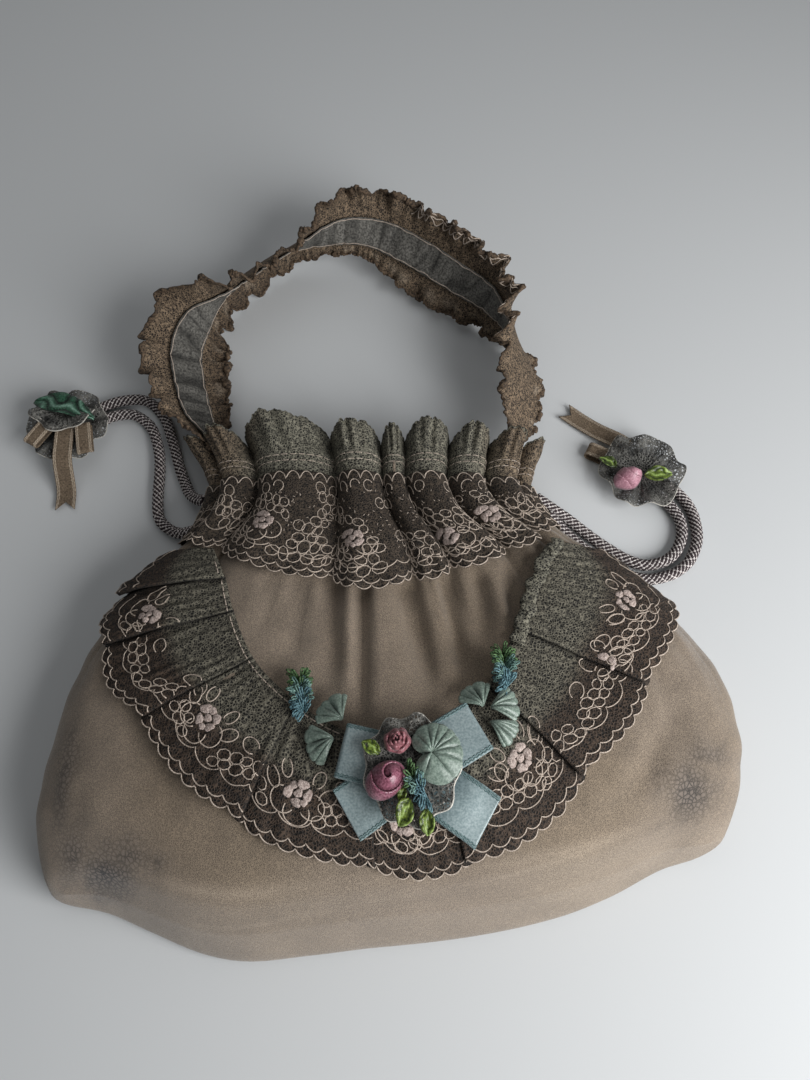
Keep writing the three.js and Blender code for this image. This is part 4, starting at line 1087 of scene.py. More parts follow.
def ovals(lace, flowers, random):
    """Clusters of ovals, sparser higher up, that leave the flowers free."""
    for row, t in enumerate(np.arange(OVAL_LOW, OVAL_HIGH, OVAL_PITCH[1])):
        for place in np.arange(OVAL_PITCH[0] * (0.5 + 0.5 * (row % 2)), lace.length, OVAL_PITCH[0]):
            sparse = ripple("oval_cluster", place, t) > OVAL_SPARSE - OVAL_THINNING * t
            near = any(math.hypot(place - x, t - y) < FLOWER_ROOM for x, y in flowers)
            if sparse or near or t > lace.height(place) - OVAL_TOP_ROOM:
                continue
            half = random.uniform(*OVAL_HALVES)
            shift = random.uniform(-OVAL_SHIFT, OVAL_SHIFT, 2)
            turn = random.uniform(-OVAL_TURN, OVAL_TURN)
            ring(lace, place + shift[0], t + shift[1], *half, turn, OVAL_OUTLINE, points=OVAL_POINTS)


def flecks(lace, random):
    """Short ends of thread strewn over the frill."""
    along = np.linspace(-FLECK_HALF, FLECK_HALF, FLECK_POINTS)
    for _ in range(FLECKS):
        place, turn = random.uniform((0, 0), (lace.length, TURN))
        t = random.uniform(FLECK_LOW, max(lace.height(place) - FLECK_TOP_ROOM, FLECK_LOW + FLECK_ROOM))
        x, y = rotated(along, 0, turn)
        lace.thread(place + x, t + y, FLECK_OUTLINE)


def neck_lace():
    neck = neck_columns(LACE_FOLD_STEPS)
    across = signed_power(np.cos(neck["angle"]), 2 / ROUND_FRONT)
    front = np.sin(neck["angle"])
    edge = FRILL_LOW_Y + FRILL_SIDE_RISE * np.abs(across - FRILL_CENTRE) ** FRILL_CURVE
    notched = edge + FRILL_NOTCH * (1 - neck["pipe"]) ** 2
    edge = np.where(front >= 0, notched, np.maximum(edge, FRILL_BACK_Y))
    share = np.linspace(1, 0, FRILL_ROWS)[None, :]
    flare = np.maximum(front, 0) * FRILL_FLARE * share * (1 + neck["pipe"])
    wave = FRILL_WAVE * np.sin(2 * TURN * neck["share"] + neck["place"]) * share**2
    puff = FRILL_PUFF * neck["pipe"] * np.sin(np.pi * share) * (front > 0)
    lift = 2 * LAYER_GAP + 1.5 * LACE_ROOM + flare + np.maximum(wave, FRILL_WAVE_LEAST) + puff
    grid = neck_point(neck, mix(FRILL_TOP_Y, edge, share), lift)
    lace = Lace(grid.copy(), True, front[:, 0] < FRILL_HIDDEN_SINE)
    scallop_edge(grid)
    piece = sheet("neck_lace", grid, LACE_WALL, BROWN_LACE, True, painted(grid, FRILL_BROWN))
    random = np.random.default_rng(FRILL_SEED)
    edge_threads(lace)
    flowers = [lace.nearest(x, y) for x, y in NECK_FLOWERS]
    for s, t in flowers:
        blossom(lace, s, t, random.uniform(-BLOSSOM_TURN, BLOSSOM_TURN))
    arches(lace, random)
    ovals(lace, flowers, random)
    flecks(lace, random)
    threads = lace.heap.make("neck_lace_threads", "brown_lace", [EMBROIDERY, FLOWER_THREAD])


# Pleated swag on the front: matching points on its inner and outer edges, from left to right
SWAG = table("index in_x in_y out_x out_y", [
    (0, -0.070, 0.055, -0.091, 0.057), (1, -0.064, 0.042, -0.103, 0.038), (2, -0.060, 0.030, -0.106, 0.022),
    (3, -0.056, 0.020, -0.098, 0.003), (4, -0.050, 0.009, -0.085, -0.011), (5, -0.042, 0.000, -0.066, -0.031),
    (6, -0.031, -0.009, -0.044, -0.046), (7, -0.017, -0.017, -0.018, -0.054),
    (8, -0.002, -0.021, 0.002, -0.058), (9, 0.013, -0.019, 0.023, -0.056),
    (10, 0.026, -0.009, 0.048, -0.043), (11, 0.036, 0.004, 0.069, -0.022),
    (12, 0.043, 0.018, 0.085, -0.002), (13, 0.048, 0.033, 0.099, 0.022), (14, 0.054, 0.046, 0.100, 0.040),
    (15, 0.061, 0.058, 0.085, 0.056),
])
SWAG_PLEAT_EDGES = (0, 0.9, 2.1, 3.8, 5.6, 7.4, 9.2, 10.8, 12.3, 15)
SWAG_PLEAT_PUFF = (2.0, 1.8, 1.5, 1.3, 1.1, 1, 1.1, 1.4, 1.7)
SWAG_PLEAT_RISE = 0.0018
SWAG_MIDDLE = 5
SWAG_MIDDLE_RAMP = 0.2
SWAG_OVERHANG = 0.17
# Painted shade on the cloth just past the edge of each lapping fold, where its shadow falls
SWAG_SHADE = (SWAG_OVERHANG + 0.10, 0.8 * SWAG_OVERHANG)
SWAG_FOLD = table("reach rise", [(0.015, 0.84), (0, 0.66), (-0.06, 0.5), (-0.13, 0.3)])
SWAG_LOBE = 0.075
SWAG_LOBE_ROUNDNESS = 0.7
SWAG_RAMP_POWER = 0.8
SWAG_LIFT = 0.0008
SWAG_RISE = (0.75, 1.1)
SWAG_FOLD_ROOM = 0.0044
SWAG_PUFF_LEAST = -0.0004
SWAG_PLACE_LENGTH = 0.025
SWAG_WIDTH_LENGTH = 0.012
SWAG_ROWS = 25
PLEAT_POINTS = 42
SWAG_BROWN = (0.42, 0.62)
# Strength of that painted shade, less towards the outer edge of the swag
SWAG_PAINTED_SHADE = 0.9
SWAG_PAINTED_SHADE_FADE = (1, 0.55)
SWAG_SEED = 4
SWAG_FLOWERS = (
    (-0.0636, -0.012), (0.0788, 0.0353), (0.0414, -0.0246), (0.0024, -0.0471), (-0.0311, -0.0376),
    (-0.092, 0.028), (0.074, 0.006))
SWAG_FLOWER_LOW = 0.0095
SWAG_FLOWER_HIGH = 0.020
SWAG_STITCHES = {"start": 0.01, "end": 0.45, "drop": 0.0020, "radius": 0.00025}
BINDING = {"start": 0.80, "end": 0.002, "points": 260, "drop": 0.0022, "lift": 0.0016}
BINDING_HALF = (0.0027, 0.0006)
BINDING_SIDES = 8


def swag_columns():
    """Columns of the swag: place along it, height of the pleat, lobe of its edge, if it is hidden, and
    painted shade past the edge of a lapping fold.

    The pleats lap from both ends towards the middle one, which lies under its neighbours.
    """
    columns = []
    last = len(SWAG_PLEAT_PUFF) - 1
    for pleat, (start, end) in enumerate(zip(SWAG_PLEAT_EDGES[:-1], SWAG_PLEAT_EDGES[1:])):
        top = SWAG_PLEAT_RISE * SWAG_PLEAT_PUFF[pleat]
        before = SWAG_OVERHANG * (pleat > SWAG_MIDDLE)
        after = SWAG_OVERHANG * (pleat < SWAG_MIDDLE)
        share = np.linspace(0, 1, int(PLEAT_POINTS * max(end - start, 1)))
        spots = mix(start - before, end + after, share)
        lobe = np.sin(np.pi * np.clip((spots - start) / (end - start), 0, 1)) ** SWAG_LOBE_ROUNDNESS
        hidden = np.zeros(len(spots), bool)
        shade = np.zeros(len(spots))
        lapped_start, lapped_end = 0 < pleat <= SWAG_MIDDLE, SWAG_MIDDLE <= pleat < last
        for lapped, gap in ((lapped_start, spots - start), (lapped_end, end - spots)):
            if lapped:
                hidden |= gap < SWAG_OVERHANG
                shade += smoothstep(*SWAG_SHADE, gap)
        ramp = share if after else 1 - share if before else np.full(len(spots), SWAG_MIDDLE_RAMP)
        front = np.stack([spots, top * ramp**SWAG_RAMP_POWER, lobe, hidden, shade])
        flat = np.ones(len(SWAG_FOLD["reach"]))
        fold = np.stack([SWAG_FOLD["reach"], SWAG_FOLD["rise"] * top, 0 * flat, flat, flat])
        if after:
            fold[0] = end + after + fold[0]
            columns += [front, fold]
        elif before:
            fold[0] = start - before - fold[0]
            columns += [fold[:, ::-1], front]
        else:
            columns.append(front)
    return np.concatenate(columns, axis=1)


def binding(lace):
    """Rolled strip along the upper edge of the swag's right end."""
    s = np.linspace(lace.length * BINDING["start"], lace.length - BINDING["end"], BINDING["points"])
    t = lace.height(s) - BINDING["drop"] + ripple("binding_sway", s, 0)
    points, normals = lace.at(s, t, BINDING["lift"])
    points = points + normals * ripple("binding_rise", s, 0.01)[:, None]
    half_width, half_height = BINDING_HALF
    half_width = half_width + ripple("binding_width", s, 0.02)
    lace.heap.add(*tube(points, normals, half_width, half_height, BINDING_SIDES), 2)


def lace_swag():
    places, rises, lobes, hidden, shade = swag_columns()[..., None]
    share = np.linspace(1, 0, SWAG_ROWS)[None, :]
    reach = share * (1 + SWAG_LOBE * lobes)
    in_x, in_y, out_x, out_y = (column_at(SWAG, name, places) for name in ("in_x", "in_y", "out_x", "out_y"))
    x, y = mix(in_x, out_x, reach), mix(in_y, out_y, reach)
    puff = ripple("swag_puff", x, y)
    puff = puff + ripple("swag_crumple", places * SWAG_PLACE_LENGTH, share * SWAG_WIDTH_LENGTH)
    lift = SWAG_LIFT + LACE_ROOM / 2 + rises * mix(*SWAG_RISE, share)
    lift = lift + SWAG_FOLD_ROOM * smoothstep(*GATHER, y)
    grid = front_point(x, y, lift + np.maximum(puff, SWAG_PUFF_LEAST))
    lace = Lace(grid.copy(), hidden=hidden[:, 0] > 0.5)
    scallop_edge(grid)
    # Painted shade beside the lapping folds, less towards the outer edge
    dark = SWAG_PAINTED_SHADE * shade * mix(*SWAG_PAINTED_SHADE_FADE, share)
    paint = painted(grid, smoothstep(*SWAG_BROWN, share), dark)
    piece = sheet("lace_swag", grid, LACE_WALL, BROWN_LACE, paint=paint)
    edge_threads(lace)
    random = np.random.default_rng(SWAG_SEED)
    embroider(lace, SWAG_FLOWERS, random, SWAG_FLOWER_LOW, SWAG_FLOWER_HIGH)
    stitch_end = lace.length * SWAG_STITCHES["end"]
    stitch_up = lambda s: lace.height(s) - SWAG_STITCHES["drop"]
    stitch_line(lace, SWAG_STITCHES["start"], stitch_end, stitch_up, SWAG_STITCHES["radius"])
    binding(lace)
    threads = lace.heap.make("lace_swag_threads", "brown_lace", [EMBROIDERY, FLOWER_THREAD, HEADING_LACE])
    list(sprigs())


# Handle: middle of the band, degrees that its upper edge leans out, reaches of the lace, turn of its frill
HANDLE = table("index x y z tilt high low swing", [
    (0, -0.076, 0.104, 0.0165, 0, 0.006, 0.006, 0), (1, -0.0808, 0.112, 0.0165, 14, 0.0072, 0.0072, 0),
    (2, -0.0855, 0.120, 0.017, 34, 0.012, 0.0125, 0), (3, -0.090, 0.130, 0.0175, 50, 0.0175, 0.018, 0),
    (4, -0.094, 0.143, 0.018, 57, 0.020, 0.020, 0), (5, -0.0975, 0.160, 0.0185, 60, 0.021, 0.021, 0),
    (6, -0.095, 0.175, 0.020, 44, 0.021, 0.020, 0.002), (7, -0.087, 0.187, 0.022, -14, 0.020, 0.019, 0.007),
    (8, -0.077, 0.1985, 0.023, -40, 0.019, 0.018, 0.011), (9, -0.066, 0.210, 0.023, -44, 0.018, 0.018, 0.012),
    (10, -0.051, 0.222, 0.023, -40, 0.018, 0.016, 0.008), (11, -0.036, 0.229, 0.023, -4, 0.019, 0.013, 0.002),
    (12, -0.021, 0.232, 0.022, 30, 0.021, 0.012, 0), (13, -0.005, 0.229, 0.021, 44, 0.021, 0.015, 0),
    (14, 0.012, 0.218, 0.021, 42, 0.021, 0.020, 0), (15, 0.029, 0.204, 0.0215, 32, 0.021, 0.020, 0),
    (16, 0.0445, 0.190, 0.023, 16, 0.021, 0.020, 0), (17, 0.054, 0.173, 0.023, -10, 0.021, 0.019, 0),
    (18, 0.0575, 0.156, 0.022, -34, 0.0205, 0.017, 0), (19, 0.057, 0.139, 0.020, -40, 0.018, 0.015, 0),
    (20, 0.0545, 0.126, 0.018, -38, 0.0135, 0.0125, 0), (21, 0.051, 0.1135, 0.017, -12, 0.008, 0.008, 0),
    (22, 0.046, 0.104, 0.0168, 0, 0.0076, 0.0076, 0),
])
HANDLE_LENGTH = 0.43
HANDLE_LOOK = 0.4
HANDLE_FLAT = 0.47
HANDLE_REACH = 0.021
HANDLE_POINTS = 27 * 26
HANDLE_LACE_ROWS = 21
HANDLE_FRILLS = 27
HANDLE_FRILL_RISE = 0.0045
HANDLE_FRILL_POWER = 4
HANDLE_FRILL_SPREAD = 1.2
HANDLE_CRIMPS = 81
HANDLE_CRIMP_RISE = 0.0007
HANDLE_CRIMP_REACH = 0.014
HANDLE_CRIMP_SPREAD = 0.8
# How the crimps drift along the handle: share and waves
HANDLE_CRIMP_DRIFT = ((1.7, 9), (1, 23))
HANDLE_PALE = (0.57, 0.84)
HANDLE_PALE_START = (HANDLE_PALE[0] - 0.03, HANDLE_PALE[0] + 0.03)
HANDLE_PLEAT_RISE = 0.0018
HANDLE_SCALLOP = 0.0058
HANDLE_SCALLOP_SHARE = 0.07
HANDLE_SCALLOP_MIDDLE = 0.6
HANDLE_LUMP = 0.13
HANDLE_LUMP_REACH = 0.010
HANDLE_SHEER = {"share": 0.75, "wave": 0.006, "part": (0.0, 0.5), "at": 0.72, "width": 0.12}
HANDLE_SHADE = {"share": 0.55, "from": (0.45, 0.6), "end": (0.55, 0.35), "most": 0.85}
HANDLE_EDGE_SHADE = {"share": 0.5, "from": (0.8, 1)}
HANDLE_EDGE_POINTS = 1000
HANDLE_EDGE_INSET = 0.0004
HANDLE_ROLL = {"radius": 0.00055, "twist": 0.22, "pitch": 0.0016, "lift": 0.0002, "sides": 6}
HANDLE_KNOB = {"size": 0.0012, "crest": 0.5, "sharpness": 6}
# Threads along the pale part of the upper edge: drop from it, wave, pitch of the wave, radius and lift
HANDLE_PICOTS = (
    (0.0004, 0.0005, 0.0026, 0.00032, 0.0006),
    (0.0020, 0.0005, 0.0026, 0.00032, 0.0006),
    (0.0036, 0.0017, 0.0046, 0.00030, 0.0005),
)
BAND_POINTS = 300
BAND_ROWS = 13
BAND_INSET = 3 / 54
BAND_HALF = 0.0074
BAND_LIFT = 0.0008
BAND_CREASE = 0.013
BAND_CREASE_DEPTH = 0.0009
BAND_PUCKER_WIDTH = 0.004
BAND_CREASE_WIDTH = 0.003
# Painted shade towards the left end of the band, and painted light towards its right end
BAND_SHADE_TO_LIGHT = (0.45, -0.45)
# Painted shade in the creases, and a darker random mottle of the band's own tone
BAND_CREASE_SHADE_AND_MOTTLE = {"crease": 0.9, "mottle": 0.55, "part": (0.0, 0.9), "most": 0.9}
BAND_STITCHES = {"start": 0.004, "end": 0.006, "points": 700, "inset": 0.0007, "radius": 0.00022}
UP = np.array([0.0, 0.0, 1.0])


def handle_at(name, place):
    return column_at(HANDLE, name, place)[:, None]


def handle_frame(place):
    """Middle of the handle, the direction across its band and the direction into the loop."""
    middle_at = lambda spot: np.concatenate([handle_at(axis, spot) for axis in "xyz"], axis=1)
    ahead, behind = np.minimum(place + HANDLE_LOOK, HANDLE["index"][-1]), np.maximum(place - HANDLE_LOOK, 0)
    along = middle_at(ahead) - middle_at(behind)
    along[:, 2] = 0
    along = unit(along)
    tilt = np.radians(handle_at("tilt", place))
    across = UP * np.cos(tilt) + np.cross(UP, along) * np.sin(tilt)
    return middle_at(place), across, np.cross(along, across)


def handle_strip(place, rows):
    """Shares from the lower to the upper edge, reach of the lace, and what gives points of the strip."""
    middle, across, inward = (part[:, None] for part in handle_frame(place))
    share = np.linspace(-1, 1, rows)[None, :]
    reach = np.where(share > 0, handle_at("high", place), handle_at("low", place))
    return share, reach, lambda up, inside: middle + across * up[..., None] + inward * inside[..., None]


def handle_paint(grid, run, share):
    """Red where the lower frill is sheer, green where the frills lie in shade."""
    below, depth = share < 0, np.abs(share)
    sheer = ripple("handle_sheer", run * HANDLE_LENGTH, HANDLE_SHEER["wave"] * share)
    sheer = smoothstep(*HANDLE_SHEER["part"], sheer) * bell(depth, HANDLE_SHEER["at"], HANDLE_SHEER["width"])
    red = HANDLE_SHEER["share"] * below * sheer
    shade = HANDLE_SHADE["share"] * below * smoothstep(*HANDLE_SHADE["from"], depth)
    shade = shade * smoothstep(*HANDLE_SHADE["end"], run)
    shade = shade + HANDLE_EDGE_SHADE["share"] * smoothstep(*HANDLE_EDGE_SHADE["from"], depth)
    return painted(grid, red, np.clip(shade, 0, HANDLE_SHADE["most"]) * (1 - red))


def handle_threads(lace):
    """Knobbly rolled edges, and picots and a zigzag along the pale part of the upper one."""
    s = np.linspace(0, lace.length, HANDLE_EDGE_POINTS)
    crest = np.abs(np.cos(TURN * HANDLE_FRILLS * s / s[-1])) ** HANDLE_KNOB["sharpness"]
    twist = 1 + HANDLE_ROLL["twist"] * np.sin(TURN * s / HANDLE_ROLL["pitch"])
    for side, t in enumerate((HANDLE_EDGE_INSET, lace.height(s) - HANDLE_EDGE_INSET)):
        knob = np.clip(HANDLE_KNOB["crest"] * crest + ripple("handle_knob", s, side), 0, 1)
        roll = (HANDLE_ROLL["radius"] + HANDLE_KNOB["size"] * knob) * twist
        points, normals = lace.at(s, t, HANDLE_ROLL["lift"])
        lace.heap.add(*tube(points, normals, roll, roll, HANDLE_ROLL["sides"]))
    pale = s[(s > HANDLE_PALE[0] * s[-1]) & (s < HANDLE_PALE[1] * s[-1])]
    for drop, wave, pitch, radius, lift in HANDLE_PICOTS:
        lace.thread(pale, lace.height(pale) - drop + wave * np.sin(TURN * pale / pitch), radius, 1, lift)
    return lace.heap.make("handle_lace_threads", "handle_lace", [HANDLE_EDGE, EMBROIDERY])


def handle_lace():
    run = np.linspace(0, 1, HANDLE_POINTS + 1)[:, None]
    place = run[:, 0] * HANDLE["index"][-1]
    share, reach, point = handle_strip(place, HANDLE_LACE_ROWS)
    outer = np.clip((np.abs(share) - HANDLE_FLAT) / (1 - HANDLE_FLAT), 0, 1)
    frill = HANDLE_FRILL_RISE * np.cos(TURN * HANDLE_FRILLS * run)
    frill = frill * (reach / HANDLE_REACH) ** HANDLE_FRILL_POWER * outer**HANDLE_FRILL_SPREAD
    phase = TURN * HANDLE_CRIMPS * run
    for drift, waves in HANDLE_CRIMP_DRIFT:
        phase = phase + drift * np.sin(TURN * waves * run)
    pleated = smoothstep(*HANDLE_PALE_START, run) * (run < HANDLE_PALE[1]) * (share > 0)
    crimp = np.cos(phase) * mix(HANDLE_CRIMP_RISE, HANDLE_PLEAT_RISE, pleated) * np.sign(share)
    crimp = crimp * outer**HANDLE_CRIMP_SPREAD * np.minimum(reach / HANDLE_CRIMP_REACH, 1) ** 2
    swing = np.where(share < 0, handle_at("swing", place) * outer, 0)
    scallop = crescents(run * HANDLE_LENGTH, HANDLE_SCALLOP) - HANDLE_SCALLOP_MIDDLE
    scallop = HANDLE_SCALLOP_SHARE * scallop
    lump = HANDLE_LUMP * (0.5 + ripple("handle_lump", run * HANDLE_LENGTH, np.sign(share)))
    uneven_reach = np.where(reach > HANDLE_LUMP_REACH, 1 + (scallop - lump) * outer**2, 1)
    grid = point(reach * share * uneven_reach, frill + crimp + swing)
    grid[..., 2] = np.maximum(grid[..., 2], LACE_ROOM)
    paint = handle_paint(grid, run, share)
    piece = sheet("handle_lace", grid, LACE_WALL, HANDLE_LACE, paint=paint)
    handle_threads(Lace(grid))


def handle_band():
    run = np.linspace(BAND_INSET, 1 - BAND_INSET, BAND_POINTS)[:, None]
    share, reach, point = handle_strip(run[:, 0] * HANDLE["index"][-1], BAND_ROWS)
    along = run * HANDLE_LENGTH
    waver = ripple("band_crease", along, share * BAND_CREASE_WIDTH)
    crease = 1 - np.abs(np.sin(np.pi * along / BAND_CREASE + waver))
    pucker = ripple("band_pucker", along, share * BAND_PUCKER_WIDTH) * (1 - share**2)
    lift = LACE_ROOM / 2 + BAND_LIFT + ORGANZA_ROOM / 2 + pucker - BAND_CREASE_DEPTH * crease**4
    grid = point(np.minimum(reach * HANDLE_FLAT, BAND_HALF) * share, lift)
    mottle = smoothstep(*BAND_CREASE_SHADE_AND_MOTTLE["part"], ripple("band_mottle", along, share * BAND_CREASE_WIDTH))
    # Painted shade in the creases and towards the left end, painted light towards the right, and the band's
    # own mottle
    dark = BAND_CREASE_SHADE_AND_MOTTLE["crease"] * crease**3 + BAND_CREASE_SHADE_AND_MOTTLE["mottle"] * mottle + mix(*BAND_SHADE_TO_LIGHT, run)
    dark = np.clip(dark, 0, BAND_CREASE_SHADE_AND_MOTTLE["most"])
    piece = sheet("handle_band", grid, ORGANZA_WALL, HANDLE_BAND, paint=painted(grid, dark))
    lace = Lace(grid)
    s = np.linspace(BAND_STITCHES["start"], lace.length - BAND_STITCHES["end"], BAND_STITCHES["points"])
    for t in (BAND_STITCHES["inset"], lace.height(s) - BAND_STITCHES["inset"]):
        lace.thread(s, t + ripple("band_thread", s, 0), BAND_STITCHES["radius"])
    stitches = lace.heap.make("handle_band_stitches", "handle_band", [EMBROIDERY])


# Drawcord: braided, two strands at each side, laid on the surface
CORD = 0.0052
CORD_POINTS = 240
CORD_CORE = CORD / 2 - 0.0007
CORD_SIDES = 8
CORD_CARRIERS = 12
# Both ways round the cord: direction, and which of its carriers are pale
CORD_LAYS = ((1, 2), (-1, 4))
CORD_PITCH = 0.013
CORD_STRAND = 0.00050
CORD_BRAID = 0.00026
PALE_WIDTH = 0.9
DARK_WIDTH = 1.25
STRAND_FLATNESS = 0.8
# Points of the routes; those without a height lie on the surface
CORD_FLOOR = 0.0028
CORD_ROUTES = {
    "drawcord_left_upper": (
        (-0.146, 0.136), (-0.140, 0.141), (-0.132, 0.145), (-0.123, 0.1465), (-0.1185, 0.1458),
        (-0.1145, 0.1435), (-0.1085, 0.1365), (-0.1063, 0.1322), (-0.1045, 0.1275), (-0.101, 0.118),
        (-0.0996, 0.1136), (-0.098, 0.109), (-0.0945, 0.101, 0.0036), (-0.091, 0.0945, 0.006),
        (-0.0864, 0.090, 0.010), (-0.082, 0.0875, 0.0138)),
    "drawcord_left_lower": (
        (-0.146, 0.129), (-0.139, 0.1338), (-0.131, 0.1376), (-0.123, 0.138), (-0.116, 0.1335),
        (-0.1134, 0.1303), (-0.1115, 0.1265), (-0.1085, 0.1175), (-0.107, 0.1075), (-0.1065, 0.0975),
        (-0.1055, 0.088), (-0.1042, 0.0838), (-0.1015, 0.0805, 0.003), (-0.0954, 0.0765, 0.0046),
        (-0.0896, 0.075, 0.0082), (-0.0845, 0.075, 0.0118)),
    "drawcord_right_upper": (
        (0.0608, 0.0892, 0.0132), (0.067, 0.086, 0.0104), (0.075, 0.082, 0.0066), (0.083, 0.0765, 0.0038),
        (0.091, 0.0705), (0.099, 0.065), (0.107, 0.062), (0.115, 0.0635), (0.1186, 0.0656),
        (0.1215, 0.0685), (0.125, 0.076), (0.125, 0.084), (0.121, 0.0915), (0.1145, 0.0975),
        (0.1113, 0.0999), (0.108, 0.102)),
    "drawcord_right_lower": (
        (0.0649, 0.0815, 0.013), (0.069, 0.079, 0.0096), (0.075, 0.0745, 0.0056), (0.082, 0.0695, 0.0032),
        (0.089, 0.0642), (0.0975, 0.0584), (0.107, 0.0554), (0.1174, 0.0574), (0.1225, 0.0602),
        (0.1268, 0.0642), (0.1314, 0.0742), (0.1314, 0.0854), (0.1298, 0.0908), (0.127, 0.0956),
        (0.1198, 0.103), (0.1125, 0.1086)),
}


def braided_cord(name):
    route = [(*point, CORD_FLOOR)[:3] for point in CORD_ROUTES[name]]
    points, length = curve_through(route, CORD_POINTS)
    along = unit(np.gradient(points, axis=0))
    side = unit(np.cross(along, UP))
    up = np.cross(side, along)
    run = np.linspace(0, length, len(points))
    heap = Heap()
    heap.add(*tube(points, up, CORD_CORE, CORD_CORE, CORD_SIDES))
    middle = CORD / 2 - CORD_STRAND - CORD_BRAID / 2
    for direction, pale_step in CORD_LAYS:
        for carrier in range(CORD_CARRIERS):
            angle = direction * TURN * run / CORD_PITCH + TURN * carrier / CORD_CARRIERS
            weave = direction * np.cos(CORD_CARRIERS * TURN * run / CORD_PITCH + np.pi * carrier)
            out = side * np.cos(angle)[:, None] + up * np.sin(angle)[:, None]
            strand = points + out * (middle + CORD_BRAID * weave)[:, None]
            pale = carrier % pale_step == 0
            width = CORD_STRAND * (PALE_WIDTH if pale else DARK_WIDTH)
            heap.add(*tube(strand, out, width, CORD_STRAND * STRAND_FLATNESS), int(pale))
    piece = heap.make(name, "cord", [CORD_DARK, CORD_PALE], (name,))


# Ribbons, with stitched selvedges and with ribs
RIBBON_ROWS = 21
TAIL_POINTS = 40
LOOP_POINTS = 20
BEND_POINTS = 13
LOOP_EDGE_FALL = 0.35
NOTCH_SHARPNESS = 6
SELVEDGE_INSETS = (0.0005, 0.0012)
SELVEDGE_LINE = {"step": 0.0004, "wave": 0.0002, "pitch": 0.0016, "radius": 0.00028, "lift": 0.0002}
RIB_LINE = {"start": 0.0006, "inset": 0.0016, "points": 6, "radius": 0.00024, "lift": 0.0001}


def ribbon(name, grid, material, edge, slot, rib=None, outer=1, shade=None):
    """Ribbon on a grid, with a stitched selvedge along both long edges, on the side that is seen.

    rib is the pitch of ribs across it, and shade gives the painted shade along its length.
    """
    paint = painted(grid)
    if shade is not None:
        dark = shade[:, None] + ripple("ribbon_shade", grid[..., 0], grid[..., 1])
        paint = painted(grid, np.clip(dark, 0, 1))
    piece = sheet(name, grid, RIBBON_WALL, material, paint=paint)
    cloth = Lace(grid)
    s = np.linspace(0, cloth.length, int(cloth.length / SELVEDGE_LINE["step"]))
    wave = SELVEDGE_LINE["wave"] * np.sin(TURN * s / SELVEDGE_LINE["pitch"])
    for inset in SELVEDGE_INSETS:
        for t in (inset, cloth.height(s) - inset):
            cloth.thread(s, t + wave, SELVEDGE_LINE["radius"], lift=SELVEDGE_LINE["lift"] * outer)
    if rib:
        for place in np.arange(RIB_LINE["start"], cloth.length, rib):
            top = cloth.height(place) - RIB_LINE["inset"]
            t = np.linspace(RIB_LINE["inset"], 1, RIB_LINE["points"]) * top
            cloth.thread(place, t, RIB_LINE["radius"], 1, RIB_LINE["lift"] * outer)
    return piece, cloth.heap.make(name + "_edges", slot, [edge, material])


def tail_grid(place, start, length, width, height, curl, notch=0.0):
    """Ribbon that runs out along a height, cut straight or with a notch at its end."""
    along = np.linspace(start, length, TAIL_POINTS)[:, None]
    share = np.linspace(-1, 1, RIBBON_ROWS)[None, :]
    across = share * width / 2
    wave = curl * (0.5 + ripple("ribbon_curl", along, across))
    reach = along - notch * (1 - np.abs(share)) * (along / length) ** NOTCH_SHARPNESS
    return place(reach, across, height(along) + RIBBON_ROOM / 2 + wave)


def loop_grid(place, start, length, width, seat, rise, swell):
    """Ribbon that runs out, turns over at its end and comes back above itself."""
    radius = rise / 2
    straight = length - radius - RIBBON_ROOM / 2
    bend = np.linspace(-np.pi / 2, np.pi / 2, BEND_POINTS)
    out = np.linspace(start, straight, LOOP_POINTS, endpoint=False)
    along = np.concatenate([out, straight + radius * np.cos(bend), out[::-1]])[:, None]
    above = np.concatenate([0 * out, radius + radius * np.sin(bend), rise + 0 * out])[:, None]
    back = np.concatenate([0 * out, 0 * bend, np.sin(np.pi * np.linspace(0, 1, LOOP_POINTS))])[:, None]
    share = np.linspace(-1, 1, RIBBON_ROWS)[None, :]
    puff = swell * (back * (1 - share**2) - LOOP_EDGE_FALL * above / rise * share**4)
    return place(along, share * width / 2, seat + RIBBON_ROOM / 2 + above + puff)


# Rounds of tulle
ROUND_STEPS = 150
ROUND_ROWS = 16
ROUND_OUTLINES = (-1, -3)
ROUND_FREE = (0.25, 1)
ROUND_CRIMPS = 31
ROUND_CRIMP = 0.0003
ROUND_DRIFT = (0.7, 3)
ROUND_THREAD = 0.00022
TULLE_DENSE = (0.8, 0.35)


def round_grid(place, inner, outer, waves, wave, seat, lobes, lobe=0.06, sweep=TURN, start=0.0):
    """Gathered round, flat in the middle and waved towards its edge. A sweep below a turn leaves it open."""
    angle = start + sweep * np.linspace(0, 1, ROUND_STEPS, endpoint=sweep < TURN)[:, None]
    share = np.linspace(0, 1, ROUND_ROWS)[None, :]
    radius = mix(inner, outer, share) * (1 + lobe * share * np.cos(lobes * angle))
    drift, turns = ROUND_DRIFT
    phase = waves * angle + drift * np.sin(turns * angle)
    lift = wave * smoothstep(*ROUND_FREE, share) * (1 + np.cos(phase))
    lift = lift + ROUND_CRIMP * np.cos(ROUND_CRIMPS * angle) * np.sin(np.pi * share)
    return place(radius * np.cos(angle), radius * np.sin(angle), seat + LACE_ROOM / 2 + lift)


